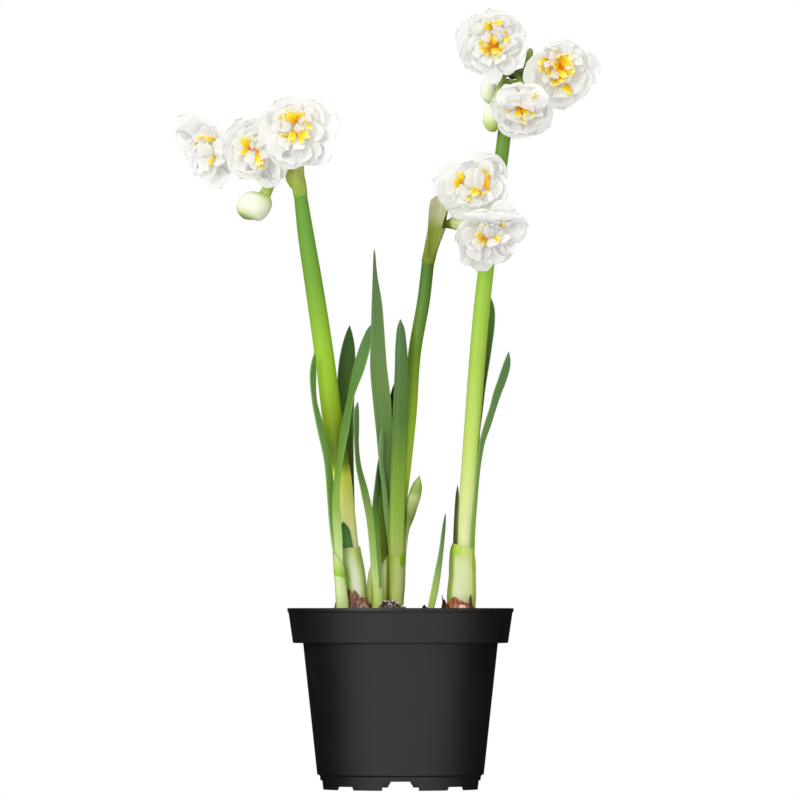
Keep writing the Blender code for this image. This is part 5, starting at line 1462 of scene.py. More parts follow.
# %% Describe the blooms
# Centre and facing of each bloom. The outer and second petals start at its middle and are given as
# (angle, reach, width). The others are (foot to the right, foot up, angle, reach, width, lift)
BLOOMS = {
    "bloom_left_right": dict(
        centre=(-59.5, -20, 378.4), faces=(0.02, -1, 0.03),
        outer=[(122, 20.4, 24), (18, 24.8, 24.1), (-110, 24, 23)],
        second=[(56, 19.4, 20.7), (-38, 25.4, 23), (176, 23.1, 21.8), (-69, 22.8, 19.5)],
        lobe=[
            (1.7, 2.8, -31, 15.5, 10.3, 0), (-0.6, 1.6, 166, 14.2, 12.6, 0),
            (-1.8, -1.8, -133, 18.7, 14.9, 0.4), (0.5, -4.1, -90, 16.1, 16.1, 0.6),
            (1.7, 1.6, 45, 13, 9.2, -0.5), (-0.6, 2.8, 112, 12.4, 12.6, -1),
            (2.8, -2.9, -56, 16.6, 11.5, -0.8)],
        crest=[
            (1.6, 2.7, 37, 8.6, 5.2, 1), (-0.7, -1.9, 49, 5.3, 4.6, 1.5), (-3, 0.4, 165, 6.6, 6.9, 0.6),
            (0.5, -4.8, -81, 7.6, 8, 0.8), (-4.1, -5.9, -132, 6.9, 6.9, 0.5),
            (3.3, -0.8, 40, 4.5, 3.4, 0.9)],
        frill=[
            (-0.1, 3.9, 143, 8.6, 5.8, 0.9), (-2.4, 5.6, 171, 8.7, 2.3, 0.7),
            (-0.1, 4.4, 107, 6, 2.6, 1.2), (-0.1, 6.2, 36, 5.4, 2.6, 1.1), (5.1, 5.3, -62, 6.8, 2.3, 1.6),
            (3.9, 1, 78, 4.1, 1.7, 1.6), (-0.7, -0.2, -113, 8.1, 4, 1.4),
            (-0.7, -1.3, -23, 8.1, 4.3, 1.3), (1.1, -3, -68, 6.2, 2.3, 1.5),
            (-4.1, -4.7, 167, 5.3, 1.7, 0.3)]),
    "bloom_left_middle": dict(
        centre=(-85, -7, 368.5), faces=(-0.12, -1, 0),
        outer=[(122, 19.1, 21.8), (-114, 18.8, 20.7), (-62, 26, 16), (-46, 25.4, 16)],
        second=[(176, 16.6, 21.8), (79, 16.5, 19.5), (-42, 12, 19.5)],
        lobe=[
            (-2.5, -1.1, 180, 9.3, 12.6, 0), (-1.3, -4, -121, 11.4, 11.5, 0.2),
            (1, -5.7, -76, 9.5, 13.8, 0.5), (2.1, 1.2, -16, 8.4, 11.5, 0.3),
            (-0.2, 3.5, 107, 9.6, 13.8, -0.3), (2.1, 2.9, 62, 8.5, 8, 0)],
        crest=[
            (0.2, -1.7, -106, 8.4, 5.8, 1.2), (1.3, 0.1, 45, 7.3, 5.8, 1), (0.2, -1.1, 85, 6.9, 3.4, 1),
            (-1.1, 3.5, 114, 5.7, 6.9, 0.2), (2.5, -6.8, -107, 6, 4.6, 0.9),
            (5.9, -1.1, -68, 6.2, 4.6, 0.8)],
        frill=[
            (-1.7, -0.5, 117, 7.1, 4.9, 1.3), (-1.7, 0.6, 90, 4.6, 2, 1.5),
            (-1.7, -0.5, -145, 6, 2.9, 1.4), (-0.2, 5, -34, 3.1, 1.5, 1.8), (3, -1.7, -82, 8.7, 4.6, 1.6),
            (3.6, -4.5, -55, 6, 2, 1.7), (3.5, -6.8, -63, 6.4, 3.4, 0.9)]),
    "bloom_left_left": dict(
        centre=(-113, 9.5, 367), faces=(-0.5, -0.82, -0.22),
        outer=[(119, 26.4, 20.5), (150, 22.3, 18.2), (-70, 22.6, 18.2), (-38, 19, 16.6)],
        second=[(102, 22, 16.5), (-117, 15.3, 14.9), (55, 18.4, 18.5), (178, 13.1, 14.9)],
        lobe=[
            (6.7, 3.1, 167, 13.4, 11.5, 0), (6.2, -0.4, -161, 14.2, 12.6, 0),
            (5.8, -5.1, -128, 12, 10.3, 0.3), (7.7, 0.8, -63, 9.3, 9.2, 0),
            (7.4, 5.4, 128, 12, 10.3, -0.5)],
        crest=[(7.5, 1, 172, 10, 8.5, 0.8), (6.8, -3, -152, 10.6, 8, 0.9), (7, 2, 4, 9.6, 9, 0)],
        frill=[
            (9, 7, 152, 4.6, 2.8, 1.5), (5.4, 8.8, 178, 6.8, 1.2, 0.2), (-1.9, 5.1, 161, 1.8, 1.2, 0.6),
            (8, -2.4, -124, 5.6, 1.9, 1.2)]),
    "bloom_middle_upper": dict(
        centre=(42.8, -10, 349.6), faces=(-0.06, -1, 0.05),
        outer=[(177, 23.9, 24), (60, 18, 22.6), (16, 19.2, 24), (-125, 24.2, 23)],
        second=[(128, 12.2, 19), (-33, 21, 22), (-83, 15.7, 19.5), (-159, 24, 20.7)],
        lobe=[
            (-2.8, -2.9, 176, 15, 14.9, -0.3), (-1.6, 1.6, 126, 9.9, 13.8, 0.2),
            (3, 1.6, 41, 10.6, 12.6, 0.2), (4.2, -3, -29, 11.9, 13.8, 0),
            (-0.4, -6.4, -83, 10.4, 16.1, 0.5), (-3.9, -5.3, -131, 10.6, 12.6, 0.4)],
        crest=[
            (-1, -5.6, 93, 12, 7.8, 1.2), (2.2, -6.4, 88, 13.2, 6, 2.2), (-3.7, -4.8, -141, 7.4, 8, 1.2),
            (9.6, -4.8, 80, 10.4, 4.2, -1), (1.5, -8.3, -85, 7.5, 11.5, 1),
            (5.5, -6.6, -63, 7.7, 6.9, 0.9), (-4.9, -8.9, -101, 5.9, 5.8, 0.8)],
        frill=[
            (-7.2, -1.4, -177, 5.2, 3.7, 1.6), (-7.8, -1.9, 100, 6.4, 3.7, 1.3),
            (-8.4, -1.9, -130, 4.5, 2.3, 1.5), (7.2, -6.5, 98, 13.4, 3.7, 1.2),
            (9.5, 0.4, 132, 7.8, 2.3, 1.8), (1.5, -4.2, -114, 5.7, 4.6, 1.8),
            (2.6, -6.5, -164, 5.4, 2.6, 1.7), (-2.6, -8.8, -107, 3.9, 2.3, 1.7),
            (3.2, -7.7, -13, 2.7, 2, 1.8)]),
    "bloom_middle_lower": dict(
        centre=(50.2, -20, 319.4), faces=(0.22, -0.97, -0.05),
        outer=[(-167, 19.5, 19.5), (-106, 23.3, 20.7), (12, 24.4, 19.5)],
        second=[(-56, 20, 18.4), (136, 15.6, 20.7), (38, 20.4, 20.7), (-136, 23.8, 14.9)],
        cap=[(3.2, 12.6, -91, 6.4, 33, 0)],
        lobe=[
            (-5, -1.2, -157, 12, 13.8, 0.2), (-2.5, -3.5, -113, 13.9, 13.8, 0),
            (1, -3.5, -83, 15.3, 14.9, 0.2), (4.6, -2.4, -54, 12.9, 12.6, 0),
            (6.8, 1.2, 5, 13.1, 13.8, 0.2)],
        crest=[
            (0, 1.2, 92, 7, 10.3, 1.6), (1.2, -2, 78, 6.4, 9.5, 2.4), (1.8, -0.6, 24, 5.7, 4.6, 1.8),
            (-2.3, -0.6, 147, 6.5, 5.2, 1.5), (6, -0.6, -54, 6.5, 6.3, 1.4),
            (-3.4, -4.1, -145, 7.1, 6.3, 1.5), (0.8, -3.5, -74, 4.9, 6.9, 1.5),
            (8.2, 4, 39, 3.7, 3.4, 1.2), (-0.4, -3.4, 86, 7.6, 6.8, 2.4)],
        frill=[
            (-2, -3.6, 161, 7, 3.7, 2), (-2.6, -3.6, -168, 5.3, 3, 2.1), (2.4, -3.8, 4, 3.2, 2.6, 1.9),
            (-3.5, 2.8, 65, 2.6, 1.5, 2.2), (6.1, 3.3, 42, 3.1, 1.3, 1.8), (-1, -5, -150, 4.4, 2.2, 1.7)]),
    "bloom_right_left": dict(
        centre=(53, -12, 429), faces=(-0.08, -1, 0.02),
        outer=[(166, 22.1, 23), (99, 19.2, 23), (16, 19.1, 23), (-134, 21.6, 20.7)],
        second=[(60, 17.8, 19.5), (-21, 20.7, 19.5), (-159, 20.8, 18.4), (132, 19.4, 17.2)],
        lobe=[
            (-2, 0.5, 155, 10.8, 11.5, 0), (-2, -1.8, -157, 11.9, 13.8, 0.4),
            (2.1, 2.8, 63, 9, 12.6, 0.6), (3.8, -3, 19, 10.4, 8, 0.6), (-0.8, -5.3, -85, 19.1, 11.5, 0.6),
            (-3.7, -5.3, -115, 12.1, 11.5, 0.4), (4.4, -6.4, -62, 13.7, 10.3, 0.4),
            (-1.5, 4, 122, 10.9, 12.6, -0.5), (5.5, -0.6, -6, 10.4, 11.5, -0.6)],
        crest=[
            (3.5, 1.6, 74, 8.4, 10.3, 1.4), (-1.2, 0.4, 140, 5.3, 5.2, 1.2), (2.9, -0.1, 56, 4.1, 4, 1.3),
            (4.1, -5.3, 35, 12, 5.2, 1.6), (-3.5, -3, -167, 7.7, 8, 0.6), (-4.7, 6.2, 176, 8.1, 2.9, 0.8),
            (1.7, -5.9, -54, 7.8, 6.9, 0.7), (-1.8, -7.6, -112, 6.2, 6.9, 0.6),
            (4.4, 7.6, 50, 7, 6.4, 1.2)],
        frill=[
            (0.6, 7.4, 156, 6.6, 3.6, 2), (-1.4, 8.6, 20, 8.4, 3.2, 2.4), (-0.4, 8, 100, 3.4, 3.6, 1.6),
            (8, 4.5, -84, 5.2, 2.9, 2.2), (8.6, 4.5, 140, 2.3, 1.5, 2.2), (0, -0.7, 104, 4.7, 1.7, 2.2),
            (0.6, -1.9, 69, 4, 2.9, 2.1), (-2.9, -4.2, 135, 6.5, 2.6, 1.7),
            (-2.4, -4.2, 139, 3.1, 3.2, 1.8), (-1.8, -3.6, -155, 5.4, 4, 1.8),
            (-1.8, -4.7, -124, 4.1, 2.9, 1.6), (0, -3.6, -52, 6.6, 4.3, 1.9), (0.5, -3, -76, 4.7, 2.9, 2),
            (3.4, -5.3, 48, 3.9, 2.6, 1.9)]),
    "bloom_right_right": dict(
        centre=(91.5, -12, 412.8), faces=(0.16, -1, -0.06),
        outer=[(73, 17.9, 21.8), (1, 24.1, 20.7), (-81, 22.3, 20.7)],
        second=[(29, 20.1, 17.2), (-36, 20.5, 19.5), (-145, 16.8, 17.2), (123, 15.9, 14.9)],
        lobe=[
            (-7.1, -1.6, 155, 13.6, 20.7, 0.6), (-4.7, -5, -112, 10.6, 10.3, 0.3),
            (0, -7.3, -89, 11.5, 14.9, 0.5), (4.7, -3.9, -35, 10, 13.8, 0), (4.6, 4.2, 14, 9.6, 12.6, 0),
            (0, 6.5, 82, 8.1, 14.9, -0.3), (-5.9, 6.5, 112, 6.2, 11.5, -0.2)],
        crest=[
            (-1.2, 7.8, 175, 6.4, 4.6, 1.4), (-2.5, 5.6, -159, 8.7, 3.4, 1.9),
            (-3, 0.4, -101, 5.6, 4.6, 1.8), (0, -6.6, 31, 6.7, 4, 1.6), (2.7, 3.3, -58, 3.4, 2.6, 2.4),
            (4, 9.6, -38, 10.4, 4.6, 1.3), (-5.1, -8.3, -118, 7.2, 4.6, 0.8),
            (-1.6, -9.5, -80, 7, 9.2, 0.8), (-9.8, -2, -73, 6, 4, 0.8)],
        frill=[
            (-6.9, 6.1, -156, 7, 4.4, 1.9), (-6.2, 1.4, -175, 7, 4, 1.4), (-5.7, 2, -154, 3.9, 3.1, 1.7),
            (-6.8, 0.9, -89, 5.2, 1.9, 1.6), (-2.3, 10.7, 180, 2.3, 2, 1.6),
            (-0.5, 5.5, 105, 3.6, 4, 1.8), (1.2, 4.3, 72, 5.5, 6.1, 1.9), (-0.5, 2.6, 174, 5.3, 4.7, 2.2),
            (0, 3.2, 20, 6.8, 5.8, 2.1), (0.7, 0.9, -3, 6.4, 6.1, 2), (0.1, -0.3, -28, 6.7, 4, 1.9),
            (-2.9, 0.3, -37, 6.6, 3.4, 2.4), (0.1, -2.6, -82, 4.4, 4, 2.1),
            (-2.2, -4.9, -126, 5.4, 3.4, 2), (-1.6, -4.9, -99, 3.5, 2.7, 1.9),
            (4.3, -8.3, -104, 5.6, 5.4, 1.9)]),
    "bloom_right_lower": dict(
        centre=(69.3, -21, 389.8), faces=(0.02, -0.95, -0.22),
        outer=[(174, 17.3, 19.5), (-102, 17.8, 19.5), (-32, 19.1, 19.5)],
        second=[
            (-140, 15.7, 16.1), (-59, 16.7, 18.4), (16, 16.1, 17.2), (84, 15.4, 20.7), (136, 16.9, 14.9)],
        cap=[(-7.4, 14, -98, 12, 13.5, 1.2), (5.2, 14.4, -84, 13.8, 17.5, 1.6)],
        lobe=[
            (-2.9, -1.3, -158, 9.9, 11.5, 0), (-1.7, -3.6, -115, 10.7, 11.5, 0.2),
            (2.9, -3.6, -70, 10.3, 12.6, 0.2), (6.3, -0.1, -26, 8.3, 11.5, 0)],
        crest=[
            (-3, 1, 159, 6.8, 4, 1.2), (2.8, 0.5, -74, 6.3, 6.9, 1.4), (-2.4, -0.3, -119, 6.9, 7.5, 1),
            (7.9, 2.8, -64, 6.7, 4.6, 1.2), (-0.1, -2.2, -96, 5.5, 4.6, 0.8)],
        frill=[
            (-5.8, -0.8, 144, 5.7, 2.3, 1.6), (-5.3, -1.4, 163, 3, 1.7, 1.6),
            (-1.6, 0.9, -96, 5, 3.4, 2.2), (1, 1.2, -66, 4.6, 3.6, 1.6), (-0.1, -2, -71, 5.8, 2.8, 1.8),
            (-2.4, 3.5, 90, 2.7, 1.7, 2.6), (5.1, 2, -64, 5.4, 4, 1.9), (5.6, 1.4, -122, 3.2, 2, 1.9),
            (6.7, 4.9, 94, 4.8, 1.7, 3.4), (6.7, 9.5, 0, 2.3, 1.1, 3.4)]),
}
print("blooms", len(BLOOMS), "frills", sum(len(bloom["frill"]) for bloom in BLOOMS.values()))

# %% [markdown]
# How a petal is bent
#
# A petal is thin and has no straight line in it. Sculpting over two hundred of them by hand would
# take days, so one function bends every petal from a flat grid. It first lays each point on the
# petal's curve, then sets how far across and how deep it lies, and at last turns it about the
# petal's length. A seeded draw sways, twists and crumples each one a little differently. A rounded
# lump at the back of the bloom holds all the feet together.

# %% Helpers for petals
def petal_width(t, blunt=3.2, foot=0.18):
    """Width of a petal along its length, as a share of its widest."""
    rise = foot + (1 - foot) * sin(math.pi / 2 * min(1.0, t / 0.6))
    return rise * math.sqrt(max(0.0, 1 - t ** blunt)) + 0.12 * t


def bloom_axes(bloom):
    """The bloom's own directions: out of its face, to the right and upwards."""
    axis = Vector(bloom["faces"]).normalized()
    up = Vector((0, 0, 1))
    up = (up - axis * up.dot(axis)).normalized()
    return axis, up.cross(axis), up


def petal(bm, bloom, sort, numbers, seed):
    """One petal: a grid bent outwards from its foot, then cupped, waved and turned."""
    foot_right, foot_up, angle, reach, width, lift = numbers
    kind = SORTS[sort]
    columns, rows = kind["grid"]
    draw = random.Random(round(seed * 1000))
    axis, right, up = bloom_axes(bloom)
    centre = Vector(bloom["centre"]) + right * foot_right + up * foot_up
    turn = math.radians(angle)
    out = right * cos(turn) + up * sin(turn)
    side = up * cos(turn) - right * sin(turn)
    r0, h0 = kind["start"]
    r1, h1 = kind["bend"][0] * reach, kind["bend"][1] + lift
    r2, h2 = kind["end"][0] * reach, kind["end"][1] + lift - kind["droop"] * max(0.0, sin(turn))
    sway = draw.uniform(-1, 1) * kind["sway"] * reach
    twist = draw.uniform(-1, 1) * kind["twist"]
    fold = draw.uniform(0.3, 1.2) * kind["fold"]
    curl = draw.uniform(-0.4, 1.0) * kind["curl"] * reach
    blunt = draw.uniform(*kind["blunt"])
    jag_size = 4.5 if kind["jag"] > 0.3 else 2.4
    phases = [draw.uniform(0, math.tau) for _ in range(3)]
    along_layer, across_layer, tone_layer = layers(bm)
    size = min(1.0, width / 14)
    for vert in bmesh.ops.create_grid(bm, x_segments=columns, y_segments=rows, size=1)["verts"]:
        u = vert.co.x
        t = sin((vert.co.y + 1) * math.pi / 4)
        # The place on the curve from foot to tip, and its slope
        r = (1 - t) ** 2 * r0 + 2 * t * (1 - t) * r1 + t * t * r2
        h = (1 - t) ** 2 * h0 + 2 * t * (1 - t) * h1 + t * t * h2
        dr = 2 * (1 - t) * (r1 - r0) + 2 * t * (r2 - r1)
        dh = 2 * (1 - t) * (h1 - h0) + 2 * t * (h2 - h1)
        slope = math.hypot(dr, dh)
        normal = axis * (dr / slope) - out * (dh / slope)
        ahead = out * (dr / slope) + axis * (dh / slope)
        # Across: the outline, torn by a noise
        torn = 1 + kind["jag"] * noise.noise(Vector((t * jag_size, seed, math.copysign(2.0, u))))
        half = width * petal_width(t, blunt, kind["foot"]) / 2 * torn
        across = u * half
        # Deep: the cup and fold, the ruffled edge, the pleats, the crumples and the middle crease
        deep = (kind["cup"] * u * u + fold * (math.sqrt(u * u + 0.02) - 0.14)) * half
        edge = abs(u) ** 1.7 * t
        deep += size * kind["ruffle"] * edge * (sin(6.5 * t + phases[u > 0])
                                                + 0.6 * sin(15 * t + phases[u < 0]))
        deep += kind["pleats"] * t * sin(6.0 * u + phases[2] + 2 * t)
        deep += size * kind["crumple"] * t * noise.noise(Vector((u * 1.5 + seed, t * 2.2, seed * 0.7)))
        deep -= size * kind["crease"] * math.exp(-((u / 0.2) ** 2)) * sin(math.pi * t)
        # Twisted about its length, with a pointed, ragged and curled tip
        spin = twist * t ** 1.5
        turned_across = across * cos(spin) - deep * sin(spin)
        turned_deep = across * sin(spin) + deep * cos(spin)
        tip = kind["point"] * math.exp(-((u / 0.16) ** 2)) * t ** 10
        tip += size * kind["ragged"] * 2.4 * t ** 5 * noise.noise(Vector((u * 2.8, seed, 7.7)))
        lean = curl * max(0.0, (t - 0.5) / 0.5) ** 2
        vert[along_layer] = 0.3 + 0.7 * t if sort == "cap" else t
        vert[across_layer] = u
        vert[tone_layer] = seed % 1.0 + (1.0 if sort in ("lobe", "crest") else 0.0)
        spot = centre + out * (r - 0.4 * abs(lean)) + axis * (h + lean)
        spot += side * (turned_across + sway * t * t)
        vert.co = place(*(spot + normal * turned_deep + ahead * tip))


def bloom_core(bm, bloom, back, radius, height):
    """A rounded lump behind the petals' feet; back is how far behind the centre it sits."""
    axis, right, up = bloom_axes(bloom)
    along_layer = layers(bm)[0]
    centre = Vector(bloom["centre"]) - axis * back
    for vert in bmesh.ops.create_uvsphere(bm, u_segments=16, v_segments=10, radius=1)["verts"]:
        local = right * vert.co.x * radius + up * vert.co.y * radius + axis * vert.co.z * height
        vert.co = place(*(centre + local))
        vert[along_layer] = 0.06


print("a petal is widest at", round(max(range(100), key=lambda k: petal_width(k / 100)) / 100, 2))

# %% [markdown]
# The white isn't pure. The foot of a petal is greenish, the small inner ones have a cream blush
# from the crown, and fine lengthwise veins show where the light rakes them. Light also passes
# through a petal: the shader scatters it under the surface, and a faint painted glow of the petal's
# own makes up for the light that comes from behind it. The crown goes from deep orange in the throat
# to yellow, and to cream at its torn edge, and a fainter painted glow in its own colours lifts it.

# %% Finish the petals and the crown
PETAL_WHITES = [
    (0, (208, 214, 164)), (0.12, (224, 225, 204)), (0.35, (229, 228, 219)), (1, (230, 229, 224))]
CREAM_BLUSH = srgb(240, 224, 184)
CROWN_YELLOWS = [
    (0, (250, 150, 4)), (0.28, (255, 190, 12)), (0.6, (255, 216, 48)), (0.88, (255, 232, 112)),
    (1, (255, 246, 200))]
# Painted glows, emission that stands in for light: the petals' and the crown's
PETAL_PAINTED_GLOW = 0.085
CROWN_PAINTED_GLOW = 0.04


def white_finish():
    """Petal white with a faint painted glow; the inner petals, whose tone is above 1, blush at the foot.
    """
    mat, tree, shader = finish("petal_white", 0.6, 0.25)
    along = stored(tree, "along")
    inner = remap(tree, stored(tree, "tone"), 0.99, 1.01, 0.0, 1.0)
    foot = remap(tree, along, 0.06, 0.45, 0.24, 0.0)
    blush = sums(tree, "MULTIPLY", inner, foot)
    cream = blend(tree, blush, ramp(tree, along, PETAL_WHITES), CREAM_BLUSH)
    veins = remap(tree, grown_streaks(tree, fine=9.0, long=1.0), 0.35, 0.65, 0.975, 1.01)
    tree.links.new(blend(tree, 1.0, cream, veins, "MULTIPLY"), shader.inputs["Base Color"])
    let_light_through(shader, 0.85, 0.003, (1.0, 0.95, 0.8))
    shader.inputs["Emission Color"].default_value = (1.0, 1.0, 0.97, 1.0)
    shader.inputs["Emission Strength"].default_value = PETAL_PAINTED_GLOW
    raised = grown_streaks(tree, fine=14.0, long=1.0, detail=2.0)
    relief(tree, shader, raised, distance=0.0004, strength=0.5)
    return mat


def crown_finish():
    """Orange to yellow, where streaks push the colours up and down the crown, with a faint painted glow.
    """
    mat, tree, shader = finish("crown_orange", 0.5, 0.3)
    push = remap(tree, grown_streaks(tree, fine=4.0), *NOISE_SPAN, -0.12, 0.12)
    colour = ramp(tree, sums(tree, "ADD", stored(tree, "along"), push), CROWN_YELLOWS)
    tree.links.new(colour, shader.inputs["Base Color"])
    tree.links.new(colour, shader.inputs["Emission Color"])
    shader.inputs["Emission Strength"].default_value = CROWN_PAINTED_GLOW
    let_light_through(shader, 0.5, 0.002, (1.0, 0.7, 0.15))
    relief(tree, shader, grown_streaks(tree, fine=12.0, long=2.0), distance=0.0004, strength=0.5)
    return mat


petal_white = white_finish()
crown_orange = crown_finish()
print("glow of a petal", PETAL_PAINTED_GLOW)

# %% [markdown]
# Each bloom becomes two pieces, one for all that is white and one for the bits of crown, because
# each has its own finish and its own solid in the frame. Petals are sheets with smooth edges, so no
# edge counts as sharp.

# %% Build the blooms
PETAL_THICKNESS = 0.3
CROWN_THICKNESS = 0.45
NO_SHARP_EDGE = math.pi
# The lumps that hold the feet: how far behind the bloom's middle, their radius and half their height
WHITE_CORE = (4.4, 7.6, 2.8)
CROWN_CORE = (2.2, 3.8, 2.0)
# How much a seed grows from petal to petal, and from bloom to bloom
PETAL_SEED, BLOOM_SEED = 1.37, 5.1
FRILL_SEED, CROWN_SEED = 1.93, 7.7

for count, (name, bloom) in enumerate(BLOOMS.items()):
    bm = bmesh.new()
    bloom_core(bm, bloom, *WHITE_CORE)
    k = 0
    for sort in WHITE_SORTS:
        for numbers in bloom.get(sort, []):
            if len(numbers) == 3:
                numbers = (0.0, 0.0, *numbers, 0.0)
            petal(bm, bloom, sort, numbers, PETAL_SEED * k + BLOOM_SEED * count)
            k += 1
    white = piece(bm, name + "_white", petal_white, name + "_petals", sharp=NO_SHARP_EDGE)
    thin_shell(white, PETAL_THICKNESS)
    bm = bmesh.new()
    bloom_core(bm, bloom, *CROWN_CORE)
    for k, numbers in enumerate(bloom["frill"]):
        petal(bm, bloom, "frill", numbers, FRILL_SEED * k + CROWN_SEED * count)
    crown = piece(bm, name + "_crown", crown_orange, name + "_corona", sharp=NO_SHARP_EDGE)
    thin_shell(crown, CROWN_THICKNESS)
    print(name, face_count(white), face_count(crown))

# %% [markdown]
# Buds
#
# A closed bud is a bar that swells and closes in a point, with three shallow seams where the outer
# petals meet. It hangs or leans, so its section is carried along the bends of its path. Green shows
# at the neck, and on some at the tip again.

# %% Shape the buds
# Rows are x, y, z and radius in millimetres, from the neck to the tip
BUDS = {
    "bud_left": [
        (-77.9, 1, 342.2, 3), (-78.7, 0.8, 340.6, 5.6), (-80.8, 0.4, 338, 8), (-83.8, 0, 335.4, 9.1),
        (-86.8, -0.3, 333, 8.6), (-88.6, -0.6, 331, 7), (-89.5, -0.8, 329.4, 4.6),
        (-89.9, -0.9, 328.6, 3.3), (-90.2, -1, 328, 2)],
    "bud_right_upper": [
        (51.6, 5.4, 409.6, 2.2), (51.2, 5.6, 406.4, 4.2), (50.9, 5.8, 402, 4.8), (50.7, 6, 397.6, 3.6),
        (50.6, 6.2, 394.6, 1)],
    "bud_right_lower": [
        (54.2, -5.6, 393, 2.6), (53.2, -5.8, 389.4, 4.8), (52.7, -6, 385.4, 5.4), (53, -6, 381.6, 4.6),
        (54, -6, 379.2, 2.8), (54.8, -6, 377.9, 0.9)],
}
BUD_STOPS = {
    "bud_left": [
        (0, (176, 202, 92)), (0.14, (216, 226, 160)), (0.3, (236, 240, 214)), (0.7, (234, 238, 210)),
        (0.86, (220, 228, 180)), (0.93, (170, 192, 112)), (1, (122, 146, 64))],
    "bud_right_upper": [
        (0, (206, 222, 160)), (0.3, (240, 244, 226)), (0.8, (234, 241, 212)), (1, (190, 212, 140))],
    "bud_right_lower": [
        (0, (206, 222, 160)), (0.25, (238, 244, 218)), (0.5, (222, 232, 180)), (0.7, (196, 214, 124)),
        (0.84, (176, 196, 96)), (1, (136, 156, 56))],
}


def closed_bud_section(angle, row):
    """Round, with three seams where the outer petals meet."""
    seam = 1 - 0.045 * max(0.0, cos(3 * angle + 0.6)) ** 8
    return oval_point(angle, row[3], row[3], seam)


for count, (name, rows) in enumerate(BUDS.items()):
    bm = bmesh.new()
    bar(bm, rows, around=48, steps=30, section=closed_bud_section, steady=False, twisted=False,
        tone=0.4 + count, rounding=TIP_ROUNDING)
    skin = grown_finish(name + "_skin", BUD_STOPS[name], streak=0.06, fine=8.0, roughness=0.42)
    piece(bm, name + "_closed", skin, name)
print("buds", len(BUDS))

# %% [markdown]
# Flower stalks
#
# The stalks fan out from a knob at the top of the stem, one to each bloom and bud. Behind a bloom a
# stalk swells into the green seed case and goes on as the pale tube that carries the petals. Each
# is a bar whose last rows are worked out from its bloom or bud, so that the two always meet.

# %% Join the flowers to their stems
# Knobs are x, y, z and radius, and the rows of a path too, from the knob outwards
PEDICELS = {
    "pedicels_left": dict(
        knob=(-60.4, -0.4, 357, 3.6),
        to_blooms={
            "bloom_left_right": [(-60.2, 1, 361, 1.8), (-60, 2.2, 368, 2.8), (-59.8, 1.6, 373.6, 2.5)],
            "bloom_left_middle": [(-64, 1.6, 360.6, 1.7), (-72, 5.6, 366, 2.8), (-80, 7.2, 368.2, 2.4)],
            "bloom_left_left": [
                (-65, 5, 361.6, 1.7), (-80, 15.6, 369.6, 1.8), (-94, 20.6, 370.8, 2.8),
                (-102.6, 20.4, 370, 2.4)]},
        to_buds={
            "bud_left": [(-64, 1.8, 357, 1.8), (-70.4, 3, 353.8, 2), (-75.2, 3, 349.2, 3.3)]}),
    "pedicels_middle": dict(
        knob=(24.4, 3.4, 324.8, 3),
        to_blooms={
            "bloom_middle_upper": [
                (26.4, 6.4, 334.6, 1.8), (31.4, 7.6, 342, 2.9), (37.6, 6.6, 347.4, 2.5)],
            "bloom_middle_lower": [
                (27.8, 2, 325, 2.6), (31.8, 0, 325.6, 4.2), (37, -3.8, 324.6, 4.2),
                (42.4, -7.4, 322.8, 2.8)]},
        to_buds={}),
    "pedicels_right": dict(
        knob=(64.8, 0, 411, 3.4),
        to_blooms={
            "bloom_right_left": [(63, 2.4, 415, 1.8), (58.4, 4.6, 421.4, 2.8), (55.4, 2.4, 426.4, 2.4)],
            "bloom_right_right": [(68.6, 1.2, 412.4, 2), (77, 3, 412.4, 3), (84, 1.6, 412.6, 2.5)],
            "bloom_right_lower": [
                (67.6, -4, 409.6, 1.8), (69.6, -7.6, 404, 2.6), (69.6, -8.6, 397.6, 2.6)]},
        to_buds={
            "bud_right_upper": [(60, 3.4, 414, 1.4), (55.2, 5.2, 415, 1.5)],
            "bud_right_lower": [(61, -3.4, 411, 1.4), (57.6, -5.6, 405, 1.5), (55.6, -5.6, 399.4, 1.7)]}),
}
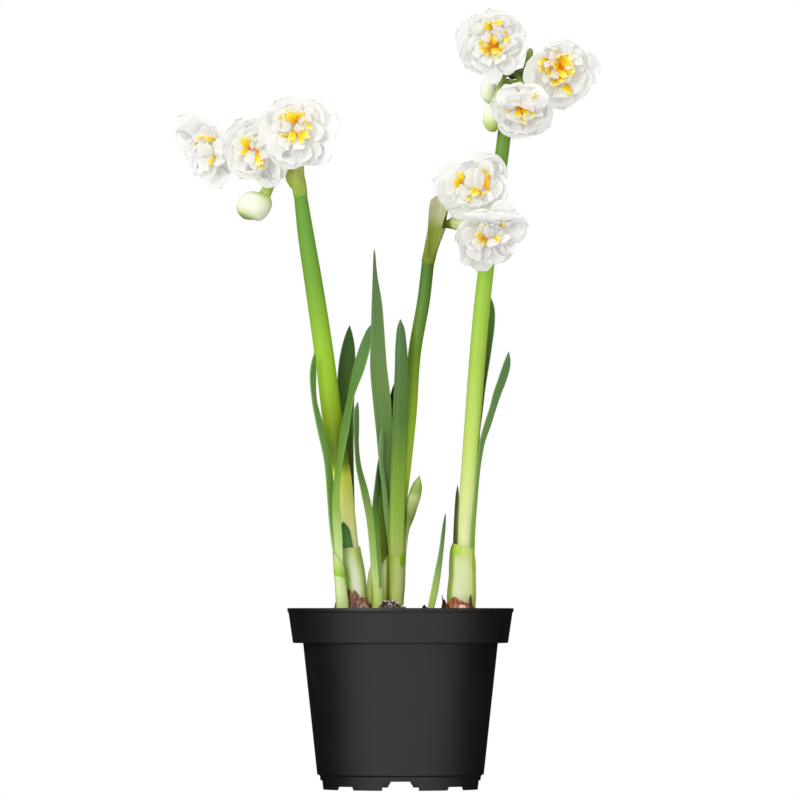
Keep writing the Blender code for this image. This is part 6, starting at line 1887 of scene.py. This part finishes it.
STALK_GREENS_AND_SHADE = {
    "pedicels_left": [
        (0, (92, 134, 40)), (0.35, (112, 150, 48)), (0.62, (150, 180, 74)), (0.82, (166, 192, 84)),
        (1, (178, 202, 96))],
    "pedicels_middle": [
        (0, (84, 98, 6)), (0.16, (94, 110, 12)), (0.24, (180, 196, 124)), (0.5, (206, 216, 158)),
        (1, (222, 230, 190))],
    # The right stalks' dark greens at the knob are painted shade
    "pedicels_right": [
        (0, (62, 80, 2)), (0.2, (84, 108, 10)), (0.4, (130, 156, 50)), (0.7, (190, 206, 130)),
        (1, (222, 230, 184))],
}
KNOB_HALF_HEIGHT = 2.7
STALK_FOOT_RADIUS = 1.6
# A bloom's tube: how far behind the bloom's middle it starts and ends, and its radius
TUBE_START, TUBE_END, TUBE_RADIUS = 11.5, 6.6, 2.3
# A bud's stalk ends round the bud's neck: how far before it and inside it, and how much thicker
NECK_BEFORE, NECK_INSIDE = 3, 0.6
NECK_SWELL, NECK_FLARE = 1.05, 1.1

for name, parts in PEDICELS.items():
    x, y, z, radius = parts["knob"]
    bm = bmesh.new()
    for bloom_name, path in parts["to_blooms"].items():
        bloom = BLOOMS[bloom_name]
        axis = bloom_axes(bloom)[0]
        centre = Vector(bloom["centre"])
        rows = [(x, y, z, STALK_FOOT_RADIUS)] + path
        rows += [(*(centre - axis * back), TUBE_RADIUS) for back in (TUBE_START, TUBE_END)]
        bar(bm, rows, around=24, steps=40, section=stem_section, steady=False, twisted=False,
            tone=0.3 * len(path))
    for bud_name, path in parts["to_buds"].items():
        neck = Vector(BUDS[bud_name][0][:3])
        way = (Vector(BUDS[bud_name][1][:3]) - neck).normalized()
        thick = BUDS[bud_name][0][3] * NECK_SWELL
        rows = [(x, y, z, STALK_FOOT_RADIUS)] + path
        rows += [(*(neck - way * NECK_BEFORE), thick), (*(neck + way * NECK_INSIDE), thick * NECK_FLARE)]
        bar(bm, rows, around=20, steps=26, section=stem_section, steady=False, twisted=False, tone=0.5)
    along_layer = layers(bm)[0]
    for vert in bmesh.ops.create_uvsphere(bm, u_segments=24, v_segments=14, radius=1)["verts"]:
        vert.co = place(x + vert.co.x * radius, y + vert.co.y * radius, z + vert.co.z * KNOB_HALF_HEIGHT)
        vert[along_layer] = 0.05
    green = grown_finish(name + "_green", STALK_GREENS_AND_SHADE[name], streak=0.08, fine=7.0, roughness=0.38)
    piece(bm, name + "_stalks", green, name)
print("stalk clusters", len(PEDICELS))
